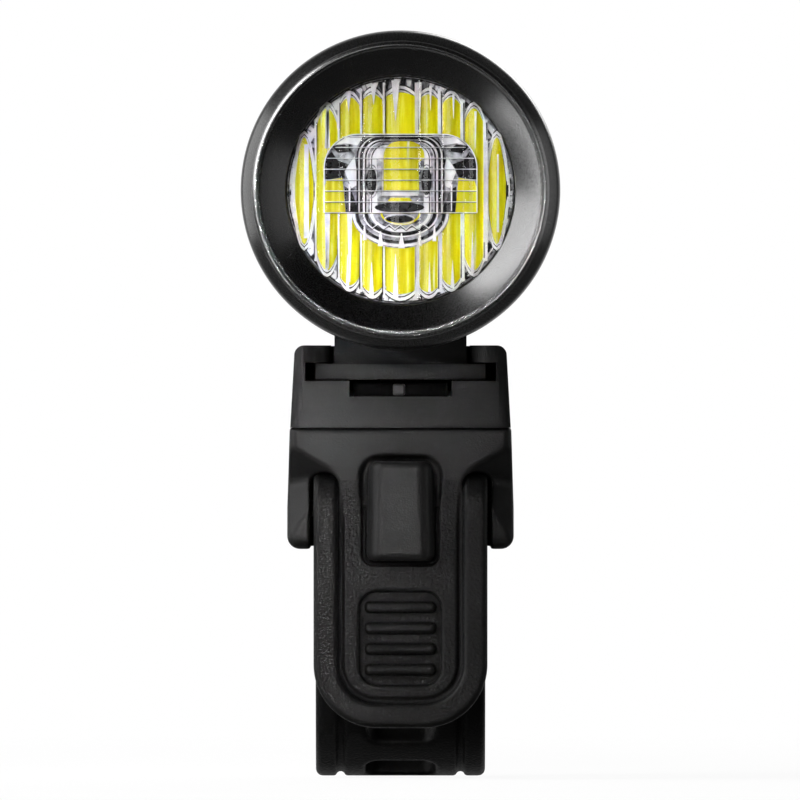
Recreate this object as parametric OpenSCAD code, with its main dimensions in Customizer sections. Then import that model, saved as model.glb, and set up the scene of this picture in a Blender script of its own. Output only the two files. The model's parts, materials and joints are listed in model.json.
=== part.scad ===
// Bicycle headlight on a quick-release rail with a rubber handlebar strap.
// Millimetres. The handlebar's axis is X, the beam leaves along -Y, and Z is up.

/* [Handlebar] */
// Diameter of the handlebar that the strap grips
bar_d = 25.4; // [24:0.1:28]

/* [Strap] */
// Thickness of the rubber band
strap_t = 2.8; // [2.4:0.1:3.2]
// Width of the rubber band
strap_w = 17.1; // [16:0.1:19]
// Width of each raised rim along the band and the tab
rim_w = 2.5; // [2:0.1:2.8]
// Height of the rims above the tab's panel
rim_proud = 0.6; // [0.3:0.1:0.8]
// Width of the groove between rim and panel
groove_w = 0.6; // [0.4:0.1:0.8]
// Depth of the groove between rim and panel
groove_d = 0.5; // [0.3:0.1:0.7]
// Number of holes along the band
hole_count = 4; // [2:1:4]
// Width of a hole across the band
hole_w = 7; // [5:0.1:8]
// Length of a hole along the band
hole_l = 5.5; // [4:0.1:6]
// Distance from one hole to the next along the band's outside
hole_pitch = 9.3; // [9:0.1:9.8]
// Diameter of the pin that holds the band's rear end
strap_pin_d = 2; // [1.6:0.1:2.4]

/* [Pull tab] */
// Thickness of the tab's panel
tab_t = 2.2; // [1.8:0.1:2.6]
// Reach of the tab below the bar's axis
tab_drop = 10.5; // [9.5:0.1:11.5]
// Radius of the tab's lower corners
tab_corner = 6.4; // [5:0.1:7]
// Width of the grip pocket
grip_w = 8.3; // [7:0.1:9.5]
// Height of the grip pocket
grip_h = 9.5; // [8:0.1:9.8]
// Depth of the grip pocket
grip_d = 0.6; // [0.4:0.1:0.9]
// Number of ridges in the grip pocket
grip_ridges = 4; // [3:1:4]
// Height of one ridge along the tab
ridge_h = 0.9; // [0.7:0.1:1.1]

/* [Saddle] */
// Height of the saddle's top above the bar
crown_h = 7; // [6.8:0.1:8]
// Thickness of the rubber pad under the saddle
pad_t = 1.5; // [1.2:0.1:1.8]
// Thickness of each ear beside the strap
ear_t = 2.3; // [2.2:0.1:3]
// Height of the ears' lower edge above the bar's axis
ear_z = 7.5; // [7:0.1:8]
// Width of the hook
hook_w = 6.6; // [6:0.1:7]
// Height of the hook from its tip to its root
hook_h = 10; // [9.5:0.1:10.5]
// Height of the hook above the tab's panel
hook_proud = 2.1; // [1.6:0.1:2.6]
// Diameter of the cross bar that the strap folds over
cross_d = 1.6; // [1.4:0.1:1.8]

/* [Rail] */
// Thickness of the rail's floor above the saddle
floor_h = 4.7; // [4.5:0.1:5.5]
// Thickness of the lips over the foot
lip_t = 1.7; // [1.4:0.1:2]
// Thickness of the side walls beside the foot
rail_wall = 1.05; // [0.9:0.05:1.6]
// Clearance above and below the foot's plate
slide_gap = 0.2; // [0.15:0.05:0.3]
// Clearance at each side of the foot's plate
side_gap = 1.1; // [0.6:0.05:1.2]
// Width of the notch in front of the latch
notch_w = 10.3; // [9.6:0.1:11]

/* [Foot] */
// Width of the foot's plate beyond the strap's
foot_over = 0; // [-0.4:0.1:0.8]
// Thickness of the foot's plate
foot_t = 1.5; // [1.4:0.1:1.8]
// Ledge of the plate at each side of the neck
foot_ledge = 1.9; // [1.7:0.1:2.3]

/* [Light] */
// Step from the housing out to the bezel, at each side
bezel_step = 2.5; // [2.2:0.1:3.2]
// Diameter of the housing's tube
housing_d = 27; // [26.6:0.1:28]
// Thickness of the housing's wall
housing_wall = 1.8; // [1.6:0.1:2]
// Reach of the bezel in front of the rail
front_overhang = 21; // [20.6:0.1:26]
// Clearance between the housing and the rail's top
roof_gap = 2; // [1.7:0.1:3]
// Width of the bezel's lip over the lens flange
lens_lip = 1.2; // [1:0.1:1.5]
// Depth of the bezel's inner cone
cone_depth = 2.3; // [1.8:0.1:3.2]
// Distance from one flute of the lens to the next
flute_pitch = 2.27; // [2:0.01:2.6]
// Height of a flute
flute_h = 0.5; // [0.3:0.05:0.6]
// Width of the ribbed block on the lens
block_w = 15.4; // [13:0.1:16]
// Height of the ribbed block on the lens
block_h = 7.7; // [6:0.1:9]
// Distance from one rib of the block to the next
rib_pitch = 1.1; // [0.9:0.05:1.3]
// Depth of the collimator behind the lens
collimator_l = 7.5; // [7:0.1:8]

/* [Battery] */
// Room between the cell's radius and the tube's
cell_room = 2.5; // [2.4:0.1:3]
// Length of the cell
cell_l = 65; // [60:0.5:70]

/* [Controls] */
// Diameter of the power button
button_d = 9.4; // [8.6:0.1:9.8]
// Travel of the power button
button_travel = 0.5; // [0.3:0.05:0.5]
// Width of the charging socket
usb_w = 8.9; // [8.6:0.1:9.2]
// Height of the charging socket
usb_h = 3.2; // [3:0.1:3.4]

/* [Hidden] */
$fn = 64;

// Small clearances shared by mating pieces
fit_gap = 0.05;
seat_gap = 0.1;
soft_gap = 0.35;
eps = 0.01;

// Strap and tab, measured from the bar's axis
bar_r = bar_d / 2;
band_y = bar_r + strap_t;
cross_r = cross_d / 2;
wrap_r = cross_r + seat_gap;
cross_y = band_y + wrap_r;
cross_drop = 1.1;
cross_z = bar_r - cross_drop;
tab_back = cross_y + wrap_r;
tab_front = tab_back + tab_t;
fold_r = wrap_r + strap_t;
tab_over = 0.2;
tab_w = strap_w + 2 * tab_over;
panel_w = tab_w - 2 * rim_w;
slot_half = tab_w / 2 + soft_gap;

// Saddle and hook
tab_stand = 0.3;
half_l = tab_front - tab_stand;
saddle_w = 2 * (slot_half + ear_t);
seam_z = bar_r + crown_h;
saddle_r = bar_r + pad_t + seat_gap;
fold_top_z = cross_z + fold_r;
fold_gap = 0.5;
slot_top_z = fold_top_z + fold_gap;
nose_w = panel_w - 2 * soft_gap;
nose_lift = 1.2;
nose_z = cross_z + nose_lift;
hook_reach = 5.3;
hook_tip_z = cross_z - hook_reach;
hook_slot_gap = 1;
hook_slot_w = hook_w + 2 * hook_slot_gap;
hook_front = tab_front + hook_proud;
hook_back = tab_front + tab_stand;
hook_stem = 0.4;
hook_stem_back = tab_back - hook_stem;
hook_lap = 1.6;
crotch_z = hook_tip_z + hook_lap;
pin_y = bar_r + strap_t / 2;
pin_lift = 2.6;
pin_z = ear_z + pin_lift;
eye_wall = 1.4;
eye_r = strap_pin_d / 2 + eye_wall;
hollow_r = 3.6;
hollow_side = 1.2;
hollow_x = slot_half + hollow_side;
hollow_out = 1.5;
hollow_y = half_l + hollow_out;
hollow_lift = 2.6;
hollow_z = cross_z + hollow_lift;
ear_chamfer = 1;
ear_chamfer_h = 1.2;
side_round = 1.2;
slot_depth = bar_r - fold_gap;
eye_room = eye_r + fold_gap;
hook_root_z = hook_tip_z + hook_h;
hook_root = 2;
hook_root_y = half_l - hook_root;
hook_brow = 0.9;
hook_brow_h = 1.2;
hook_nib = 0.8;
hook_taper = 0.35;
hook_draft = 0.8;
crotch_slope = 0.4;

// Tab hinge, where the rubber bends below the hook
bend_y = tab_back + tab_t / 2;
bend_drop = 1.3;
bend_z = hook_tip_z - bend_drop;
bend_gap = 0.9;
rim_drop = 0.6;
rim_top_z = bend_z - rim_drop;
grip_z = -1.5;
grip_round = 1.8;
ridge_margin = 0.7;

// Rail levels
foot_w = strap_w + foot_over;
neck_w = foot_w - 2 * foot_ledge;
floor_z = seam_z + floor_h;
plate_z = floor_z + slide_gap;
lip_z = plate_z + foot_t + slide_gap;
base_top_z = lip_z + lip_t;
channel_half = foot_w / 2 + side_gap;
base_half = channel_half + rail_wall;
base_draft = 0.4;
corner_w = 1.2;
corner_l = 0.7;
lip_round = 1;
neck_slot_half = neck_w / 2 + 0.35;
plate_half_l = half_l - 1;
stop_y = plate_half_l + 0.3;
neck_half_l = plate_half_l - 1;

// Latch lever
lever_gap = 0.4;
lever_half = notch_w / 2 - lever_gap;
lever_set = 2.3;
lever_y = half_l - lever_set;
lever_end = 6;
lever_top = floor_z - slide_gap;
lever_t = 1.3;
latch_pin_r = 0.75;
latch_y = 4;
latch_drop = 1.5;
latch_z = lever_top - latch_drop;
pin_reach = 2.8;
knuckle_wall = 0.9;
knuckle_flat = 4;
tooth_y = 11;
tooth_l = 2;
tooth_half = 2;
tooth_h = 0.7;
tooth_top = plate_z + tooth_h;
groove_top = tooth_top + fold_gap - slide_gap;
pocket_z = seam_z + 1.2;
spring_y = -8;
spring_r = 1.7;
spring_wire_r = 0.16;
spring_turns = 3.25;
spring_bottom = seam_z + 0.02;
spring_top = lever_top - lever_t - 0.02;
spring_rings = ceil(spring_turns * 8);
coil_gap = (spring_top - spring_bottom - 2 * spring_wire_r) / spring_turns - 2 * spring_wire_r;

// Screws
screw_r = 1;
head_r = 1.9;
head_t = 1.1;
base_screw_x = 8.2;
base_screw_y = 9;
base_screw_l = 6;
foot_screw_y = 12;

// Light, measured from its own axis
spigot_wall = 0.85;
housing_r = housing_d / 2;
tube_r = housing_r - housing_wall;
axis_z = base_top_z + housing_r + roof_gap;
front_y = -(half_l + front_overhang);
bezel_r = housing_r + bezel_step;
crest_r = bezel_r - 1.25;
cone_r = crest_r - 0.55;
spigot_r = tube_r + spigot_wall;
flange_r = spigot_r + fit_gap;
lens_r = flange_r - lens_lip;
shoulder_r = lens_r + seat_gap;
seat_y = front_y + cone_depth + 0.9;
gasket_t = 0.6;
flange_y = seat_y + gasket_t;
flange_t = 2;
lens_back = flange_y + flange_t;
holder_t = 6.2;
tube_y0 = lens_back + holder_t;
bezel_back = tube_y0 + 4;
emitter_y = lens_back + collimator_l;
emitter_t = 0.9;
emitter_w = 3.5;
board_y = emitter_y + emitter_t;
board_t = 1.6;
sink_y = board_y + board_t;
sink_l = 7.1;
contact_t = 0.5;
wall_t = 1.5;
cell_y0 = sink_y + sink_l + wall_t + contact_t;
cell_y1 = cell_y0 + cell_l;
cell_drop = cell_room - 0.3;
cell_r = tube_r - cell_room;
end_y = cell_y1 + contact_t;
end_t = 4;
usb_l = 7.3;
pcb_t = 1;
pcb_z = cell_r - cell_drop + 0.5;
board_margin = 0.9;
pcb_w = 2 * sqrt(pow(tube_r - board_margin, 2) - pow(pcb_z + pcb_t, 2));
pcb_y0 = sink_y + sink_l + 0.3;
usb_y1 = end_y + end_t + 4.5;
tube_y1 = end_y + end_t + 2.6;
cap_t = 5;
cap_y1 = tube_y1 + cap_t;
cap_spigot = 2.4;
seal_d = 1;
usb_z = pcb_z - usb_h / 2;
lead_x = 2.2;
lead_r = 0.5;
lead_z = pcb_z + pcb_t / 2;
cap_screw_r = tube_r - 2.05;
cap_screw_x = cap_screw_r * cos(50);
cap_screw_z = -cap_screw_r * sin(50);
fin_count = 4;
fin_pitch = 2.4;
fin_w = 1.1;
fin_d = 0.7;

// Controls
button_y = 4;
button_r = button_d / 2;
ring_w = 1.4;
ring_h = 2.1;
ring_proud = 0.2;
ring_z = housing_r + ring_proud - ring_h;
button_top = ring_z + ring_h + 0.1;
button_well_r = 3.2;
dish_r = 12;
dish_d = 0.4;
stop_w = 0.8;
stop_r = button_r + stop_w;
stop_z = sqrt(tube_r * tube_r - stop_r * stop_r) - 0.3;
stop_t = 0.5;
switch_w = 4;
switch_h = 0.8;
light_pipe_r = 0.9;
light_pipe_y = button_y - 11;

// Port cover
cover_t = 1.6;
cover_side = 2.1;
cover_w = usb_w + 2 * cover_side;
cover_head = 1.7;
cover_up = usb_h / 2 + cover_head;
cover_foot = 2.6;
cover_down = usb_h / 2 + cover_foot;
cover_gap = 0.35;
hinge_y = cap_y1 - cover_t / 2;
hinge_z = usb_z - cover_down;
plug_h = 1.4;
plug_l = 1;
plug_drop = 0.7;
plug_gap = 0.3;

// Shared shapes

// Cylinder along Y from y0 to y1
module ycyl(y0, y1, r) {
    translate([0, y0, 0]) rotate([-90, 0, 0]) cylinder(h = y1 - y0, r = r);
}

// Cylinder along X, centred on the symmetry plane
module xcyl(y, z, r, w) {
    translate([-w / 2, y, z]) rotate([0, 90, 0]) cylinder(h = w, r = r);
}

// Box with given lowest and highest corners
module span(low, high) {
    translate(low) cube(high - low);
}

// Box that is symmetric in X
module block(w, y0, y1, z0, z1) {
    span([-w / 2, y0, z0], [w / 2, y1, z1]);
}

// Turned piece about the Y axis, profile points are [radius, y]
module turned(points) {
    rotate([-90, 0, 0]) rotate_extrude() polygon(points);
}

// Ring about the Y axis
module yring(y0, y1, inner, outer) {
    turned([[inner, y0], [outer, y0], [outer, y1], [inner, y1]]);
}

// Side outline with points [y, z], extruded across X
module across(w) {
    rotate([90, 0, 90]) linear_extrude(w, center = true) children();
}

// Front outline with points [x, z], extruded forwards from y = -back to y = -front
module forwards(back, front) {
    translate([0, -back, 0]) rotate([90, 0, 0]) linear_extrude(front - back) children();
}

// Rectangle with round corners
module rounded(w, h, r) {
    square([w - 2 * r, h], center = true);
    square([w, h - 2 * r], center = true);
    for (x = [-1, 1], y = [-1, 1])
        translate([x * (w / 2 - r), y * (h / 2 - r)]) circle(r);
}

// Copies of the children at the left and the right
module both_sides() {
    children();
    mirror([1, 0, 0]) children();
}

// Points on an arc
function arc(x, y, r, a0, a1, n = 8) =
    [for (i = [0 : n]) let (a = a0 + (a1 - a0) * i / n) [x + r * cos(a), y + r * sin(a)]];

// Moves a piece from the light's own axis to its place above the rail
module on_light() {
    translate([0, 0, axis_z]) children();
}

// Light

module bezel() {
    color("#202022") on_light() turned([
        [crest_r, front_y], [bezel_r - 0.35, front_y + 0.9], [bezel_r, front_y + 2],
        [bezel_r, front_y + 9.5], [bezel_r - 0.6, front_y + 11.5], [housing_r, bezel_back],
        [spigot_r + fit_gap, bezel_back], [flange_r + fit_gap, seat_y],
        [shoulder_r, seat_y], [shoulder_r, front_y + cone_depth], [cone_r, front_y + 0.6],
        [cone_r + 0.3, front_y + 0.6], [cone_r + 0.3, front_y]
    ]);
}

// Height of the fluted face above the flange at a place across the lens
function flute(x) =
    let (t = (x / flute_pitch + 0.5) - floor(x / flute_pitch + 0.5))
    flute_h * (1 - pow(2 * t - 1, 2));

module lens_flutes() {
    base = 0.5;
    step = flute_pitch / 6;
    n = floor(lens_r / step);
    intersection() {
        ycyl(flange_y - base - flute_h - 1, flange_y + eps, lens_r - 0.1);
        translate([0, flange_y, -lens_r]) linear_extrude(2 * lens_r) polygon(concat(
            [[n * step, 0.2], [-n * step, 0.2]],
            [for (i = [-n : n]) [i * step, -base - flute(i * step)]]
        ));
    }
}

module lens_block() {
    base = 0.9;
    rib_h = 0.35;
    ribs = floor(block_h / rib_pitch);
    top = ribs * rib_pitch / 2;
    teeth = [for (i = [0 : ribs - 1], tip = [0, 1])
        [tip == 0 ? -base : -base - rib_h, -top + (i + tip * 0.8) * rib_pitch]];
    intersection() {
        translate([0, flange_y, 1.6]) across(block_w)
            polygon(concat([[0.1, top], [0.1, -top]], teeth, [[-base, top]]));
        translate([0, 0, 1.6]) forwards(-flange_y - 0.1, -flange_y + 2)
            rounded(block_w, block_h, 2.2);
    }
}

module lens() {
    rear_r = emitter_w / 2 + 1.3;
    color("#f2f0c8", 0.6) on_light() difference() {
        union() {
            ycyl(flange_y, lens_back, flange_r);
            lens_flutes();
            lens_block();
            turned([[0, lens_back - eps], [lens_r - 3.5, lens_back - eps],
                [rear_r, emitter_y - 0.3], [0, emitter_y - 0.3]]);
        }
        ycyl(emitter_y - 2.6, emitter_y, emitter_w / 2 + 0.6);
    }
}

module lens_gasket() {
    color("#151515") on_light() yring(seat_y, flange_y, shoulder_r + 0.1, flange_r);
}

module optic_holder() {
    front_bore = lens_r - 2.9;
    rear_bore = emitter_w / 2 + 2.2;
    color("#2b2b2d") on_light() turned([
        [front_bore, lens_back], [flange_r - 0.05, lens_back], [flange_r - 0.05, tube_y0],
        [tube_r - seat_gap, tube_y0], [tube_r - seat_gap, board_y],
        [rear_bore, board_y], [rear_bore, emitter_y - 0.2]
    ]);
}

module led_emitter() {
    color("#e6dc1e") on_light() {
        block(emitter_w, board_y - 0.5, board_y, -emitter_w / 2, emitter_w / 2);
        ycyl(emitter_y, board_y - 0.5 + eps, emitter_w / 2 - 0.35);
    }
}

module led_leads() {
    color("#a01818") on_light() both_sides() translate([lead_x, 0, lead_z])
        ycyl(sink_y, pcb_y0, lead_r);
}

module led_board() {
    color("#d8d8d4") on_light() ycyl(board_y, sink_y, tube_r - 0.6);
}

module heat_sink() {
    color("#b4b6b8") on_light() difference() {
        ycyl(sink_y, sink_y + sink_l, tube_r - fit_gap);
        both_sides() translate([lead_x, 0, lead_z])
            ycyl(sink_y - 1, sink_y + sink_l + 1, lead_r + 0.2);
    }
}

module housing() {
    color("#1d1d1f") on_light() difference() {
        union() {
            ycyl(bezel_back, tube_y1, housing_r);
            ycyl(tube_y0, bezel_back + eps, spigot_r);
        }
        ycyl(tube_y0 - 1, tube_y1 + 1, tube_r);
        // seal groove on the spigot
        yring(bezel_back - seal_d - 0.6, bezel_back - 0.6, spigot_r - 0.6, spigot_r + 1);
        // cooling grooves behind the bezel
        for (i = [0 : fin_count - 1])
            yring(bezel_back + 1.6 + i * fin_pitch, bezel_back + 1.6 + i * fin_pitch + fin_w,
                housing_r - fin_d, housing_r + 1);
        // power button and its ring
        translate([0, button_y, 0]) {
            cylinder(h = housing_r + 1, r = button_r + seat_gap);
            translate([0, 0, ring_z]) cylinder(h = 4, r = button_r + ring_w + fit_gap);
        }
        // light pipe
        translate([0, light_pipe_y, 0]) cylinder(h = housing_r + 1, r = light_pipe_r + fit_gap);
        // foot screws
        for (y = [-foot_screw_y, foot_screw_y])
            translate([0, y, -housing_r - 1]) cylinder(h = 1 + housing_wall + eps, r = screw_r + fit_gap);
    }
}

module housing_seal() {
    color("#7a1f1a") on_light()
        yring(bezel_back - seal_d - 0.55, bezel_back - 0.65, spigot_r - 0.55, spigot_r - fit_gap);
}

module rear_cap() {
    color("#1d1d1f") on_light() difference() {
        union() {
            turned([[0, tube_y1], [housing_r, tube_y1], [housing_r, cap_y1 - 1.5],
                [housing_r - 1.5, cap_y1], [0, cap_y1]]);
            ycyl(tube_y1 - cap_spigot, tube_y1 + eps, tube_r - seat_gap);
        }
        yring(tube_y1 - cap_spigot + 0.6, tube_y1 - cap_spigot + 0.6 + seal_d,
            tube_r - 0.8, tube_r + 1);
        // window for the charging socket
        translate([0, 0, usb_z]) block(usb_w + 0.6, tube_y1 - cap_spigot - 1, cap_y1 + 1,
            -usb_h / 2 - 0.3, usb_h / 2 + 0.3);
        // seat for the board's end
        translate([0, 0, pcb_z]) block(pcb_w + 0.6, tube_y1 - cap_spigot - 1,
            usb_y1 - 0.2, -0.3, pcb_t + 0.3);
        // seat of the cover
        block(cover_w + 2 * cover_gap, cap_y1 - cover_t - 0.1, cap_y1 + 1,
            hinge_z - cover_t / 2 - cover_gap, usb_z + cover_up + cover_gap);
        both_sides() translate([cap_screw_x, 0, cap_screw_z]) {
            ycyl(tube_y1 - cap_spigot - 1, cap_y1 + 1, screw_r + fit_gap);
            ycyl(cap_y1 - head_t - 0.3, cap_y1 + 1, head_r + fit_gap);
        }
    }
}

module rear_cap_seal() {
    color("#7a1f1a") on_light() yring(tube_y1 - cap_spigot + 0.65,
        tube_y1 - cap_spigot + 0.55 + seal_d, tube_r - 0.75, tube_r - fit_gap);
}

// Screw along Y with its head at the back
module y_screw(y0, y1) {
    difference() {
        union() {
            ycyl(y0, y1, screw_r);
            ycyl(y1 - head_t, y1, head_r);
        }
        translate([0, y1 - 0.6, 0]) rotate([-90, 0, 0]) cylinder(h = 1, r = 0.8, $fn = 6);
    }
}

module cap_screws() {
    color("#9a9a9c") on_light() both_sides() translate([cap_screw_x, 0, cap_screw_z])
        y_screw(end_y + 0.6, cap_y1 - 0.3);
}

module battery_cell() {
    color("#2f6f9f") on_light() translate([0, 0, -cell_drop]) {
        ycyl(cell_y0, cell_y1 - 1, cell_r);
        ycyl(cell_y1 - 1 - eps, cell_y1, cell_r - 3.5);
    }
}

module battery_cradle() {
    front = sink_y + sink_l;
    color("#3a3a3c") on_light() difference() {
        union() {
            // trough under the cell
            intersection() {
                ycyl(front, end_y + end_t, tube_r - seat_gap);
                block(4 * tube_r, front, end_y + end_t, -2 * tube_r, -cell_drop - 3);
            }
            // end walls
            for (wall = [[front, front + wall_t], [end_y, end_y + end_t]]) intersection() {
                ycyl(wall[0], wall[1], tube_r - seat_gap);
                block(4 * tube_r, wall[0], wall[1], -2 * tube_r, pcb_z - usb_h - 0.4);
            }
        }
        translate([0, 0, -cell_drop]) ycyl(front + wall_t, end_y, cell_r + seat_gap);
        both_sides() translate([cap_screw_x, 0, cap_screw_z])
            ycyl(end_y + 0.3, end_y + end_t + 1, screw_r + fit_gap);
    }
}

module battery_contacts() {
    size = 3;
    color("#c8c8c0") on_light() translate([0, 0, -cell_drop])
        for (y = [cell_y0 - contact_t, cell_y1])
            block(2 * size, y, y + contact_t, -size, size);
}

module main_board() {
    color("#1f6b3a") on_light()
        block(pcb_w, pcb_y0, usb_y1 - 0.5, pcb_z, pcb_z + pcb_t);
}

module tact_switch() {
    top = pcb_z + pcb_t;
    color("#b0b0b0") on_light() translate([0, button_y, 0]) {
        block(switch_w, -switch_w / 2, switch_w / 2, top, top + switch_h * 0.7);
        translate([0, 0, top]) cylinder(h = switch_h, r = 1);
    }
}

module usb_socket() {
    color("#c0c0c4") on_light() translate([0, 0, usb_z]) difference() {
        block(usb_w, usb_y1 - usb_l, usb_y1, -usb_h / 2, usb_h / 2);
        block(usb_w - 0.7, usb_y1 - 5, usb_y1 + 1, -usb_h / 2 + 0.35, usb_h / 2 - 0.35);
    }
}

module indicator_window() {
    top = pcb_z + pcb_t;
    color("#e8f0f4", 0.7) on_light() translate([0, light_pipe_y, top])
        cylinder(h = housing_r - 0.1 - top, r = light_pipe_r);
}

module power_button() {
    color("#3c3c3f") on_light() translate([0, button_y, 0]) difference() {
        union() {
            translate([0, 0, stop_z - stop_t]) cylinder(h = button_top - stop_z + stop_t, r = button_r);
            translate([0, 0, stop_z - stop_t]) cylinder(h = stop_t, r = stop_r);
        }
        translate([0, 0, stop_z - stop_t - 1])
            cylinder(h = 1 + pcb_z + pcb_t + switch_h + button_travel + 0.1 - stop_z + stop_t,
                r = button_well_r);
        translate([0, 0, button_top + dish_r - dish_d]) sphere(dish_r);
    }
}

module button_ring() {
    color("#101010") on_light() translate([0, button_y, ring_z]) difference() {
        cylinder(h = ring_h, r = button_r + ring_w);
        translate([0, 0, -ring_h]) cylinder(h = 3 * ring_h, r = button_r + seat_gap);
    }
}

module port_cover() {
    color("#161616") on_light() {
        block(cover_w, cap_y1 - cover_t, cap_y1, hinge_z, usb_z + cover_up);
        xcyl(hinge_y, hinge_z, cover_t / 2, cover_w);
        translate([0, 0, usb_z - plug_drop])
            block(usb_w - 2 * plug_gap, cap_y1 - cover_t - plug_l, cap_y1 - cover_t + eps,
                -plug_h / 2, plug_h / 2);
    }
}

module foot() {
    plate_top = plate_z + foot_t;
    color("#202022") difference() {
        union() {
            block(foot_w, -plate_half_l, plate_half_l, plate_z, plate_top);
            block(neck_w, -neck_half_l, neck_half_l, plate_top - eps, axis_z - housing_r / 2);
        }
        on_light() ycyl(-half_l, half_l, housing_r + fit_gap);
        // path of the latch's tooth, open at the rear
        block(2 * tooth_half + 0.8, -tooth_y - tooth_l / 2 - 0.4, half_l, plate_z - 1, groove_top);
        for (y = [-foot_screw_y, foot_screw_y]) translate([0, y, 0]) {
            cylinder(h = axis_z, r = screw_r + fit_gap);
            cylinder(h = groove_top + head_t + 0.1, r = head_r + fit_gap);
        }
    }
}

module foot_screws() {
    top = axis_z - housing_r + housing_wall - 0.3;
    color("#9a9a9c") for (y = [-foot_screw_y, foot_screw_y]) translate([0, y, groove_top]) difference() {
        union() {
            cylinder(h = head_t, r = head_r);
            cylinder(h = top - groove_top, r = screw_r);
        }
        translate([0, 0, -0.4]) cylinder(h = 1, r = 0.8, $fn = 6);
    }
}

// Rail and latch

module rail_body() {
    low = base_half + base_draft;
    flat = low - corner_w;
    end = half_l - corner_l;
    right = concat([[low, seam_z]], arc(base_half - lip_round, base_top_z - lip_round, lip_round, 0, 90));
    left = [for (i = [len(right) - 1 : -1 : 0]) [-right[i][0], right[i][1]]];
    intersection() {
        forwards(-half_l, half_l) polygon(concat(right, left));
        linear_extrude(2 * base_top_z) polygon([
            [-low, -end], [-flat, -half_l], [flat, -half_l], [low, -end],
            [low, end], [flat, half_l], [-flat, half_l], [-low, end]
        ]);
    }
}

module rail_base() {
    lead_in = 3;
    color("#232325") difference() {
        rail_body();
        block(2 * channel_half, -half_l - 1, stop_y, floor_z, lip_z);
        block(2 * neck_slot_half, -half_l - 1, stop_y, lip_z - eps, base_top_z + 1);
        // lips rounded off at the mouth
        both_sides() difference() {
            span([neck_slot_half - eps, -half_l - 1, lip_z - eps],
                [neck_slot_half + lead_in, -half_l + lead_in, base_top_z + 1]);
            translate([neck_slot_half + lead_in, -half_l + lead_in, lip_z - 1])
                cylinder(h = lip_t + 3, r = lead_in);
        }
        // pocket of the latch, open at the front
        block(notch_w, -half_l - 1, lever_end + 0.8, floor_z - 1.55, floor_z + eps);
        block(notch_w, -half_l + 2, lever_end + 0.8, pocket_z, floor_z);
        xcyl(latch_y, latch_z, latch_pin_r + fit_gap, 2 * (lever_half + pin_reach + slide_gap));
        translate([0, spring_y, seam_z - 1]) cylinder(h = floor_h, r = spring_r + 0.5);
        for (x = [-1, 1], y = [-1, 1]) translate([x * base_screw_x, y * base_screw_y, seam_z - 1])
            cylinder(h = 1 + base_screw_l - head_t, r = screw_r + fit_gap);
    }
}

module latch_lever() {
    knuckle_r = latch_pin_r + knuckle_wall;
    color("#2c2c2e") difference() {
        union() {
            block(2 * lever_half, -lever_y, lever_end, lever_top - lever_t, lever_top);
            xcyl(latch_y, latch_z, knuckle_r, 2 * lever_half);
            across(2 * tooth_half) polygon([
                [-tooth_y - tooth_l / 2, lever_top - eps], [-tooth_y - tooth_l / 2, tooth_top],
                [-tooth_y, tooth_top], [-tooth_y + tooth_l / 2, lever_top - eps]
            ]);
        }
        xcyl(latch_y, latch_z, latch_pin_r + fit_gap, 3 * lever_half);
        block(3 * lever_half, latch_y - knuckle_flat, 2 * lever_end, lever_top, lever_top + knuckle_r);
    }
}

module latch_pin() {
    color("#a8a8aa") xcyl(latch_y, latch_z, latch_pin_r, 2 * (lever_half + pin_reach));
}

// Coil of the latch spring as one tube with six sides
function coil_point(i) =
    let (t = i / spring_rings)
    [spring_r * cos(360 * spring_turns * t), spring_r * sin(360 * spring_turns * t),
        spring_bottom + spring_wire_r + (spring_top - spring_bottom - 2 * spring_wire_r) * t];
echo("least gap between the spring's turns", coil_gap);

module latch_spring() {
    ring = [for (i = [0 : spring_rings], k = [0 : 5])
        let (c = coil_point(i), a = 360 * spring_turns * i / spring_rings,
            out = spring_wire_r * cos(60 * k), up = spring_wire_r * sin(60 * k))
        c + [out * cos(a), out * sin(a), up]];
    sides = [for (i = [0 : spring_rings - 1], k = [0 : 5], half = [0, 1])
        let (n = (k + 1) % 6, a = i * 6 + k, b = i * 6 + n, c = a + 6, d = b + 6)
        half == 0 ? [a, b, d] : [a, d, c]];
    last = spring_rings * 6;
    caps = [for (k = [1 : 4], end = [0, 1])
        end == 0 ? [0, k + 1, k] : [last, last + k, last + k + 1]];
    color("#b8b8ba") translate([0, spring_y, 0])
        polyhedron(points = ring, faces = concat(sides, caps));
}

// Saddle

module saddle_side() {
    polygon([
        [-half_l, seam_z], [-half_l, ear_z + ear_chamfer_h], [-half_l + ear_chamfer, ear_z],
        [half_l - ear_chamfer, ear_z], [half_l, ear_z + ear_chamfer_h], [half_l, seam_z]
    ]);
}

module hook_side() {
    stem_top = nose_z + hook_nib;
    across(hook_w) polygon([
        [-hook_root_y, hook_root_z], [-hook_front + hook_brow, hook_root_z],
        [-hook_front, hook_root_z - hook_brow_h], [-hook_front, hook_tip_z + hook_nib],
        [-hook_front + hook_nib, hook_tip_z], [-hook_back, hook_tip_z],
        [-hook_back, crotch_z + hook_nib], [-hook_stem_back, crotch_z + hook_nib + crotch_slope],
        [-hook_stem_back, stem_top], [-hook_root_y, stem_top]
    ]);
}

// Hook that narrows towards its root and its face
module hook() {
    half = hook_w / 2;
    intersection() {
        hook_side();
        forwards(0, 2 * hook_front) polygon([
            [-half, 0], [half, 0], [half, hook_tip_z + hook_nib],
            [half - hook_taper, hook_root_z], [-half + hook_taper, hook_root_z],
            [-half, hook_tip_z + hook_nib]
        ]);
        linear_extrude(seam_z) polygon([
            [half, 0], [half, -hook_back], [half - hook_draft, -hook_front],
            [-half + hook_draft, -hook_front], [-half, -hook_back], [-half, 0]
        ]);
    }
}

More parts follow.
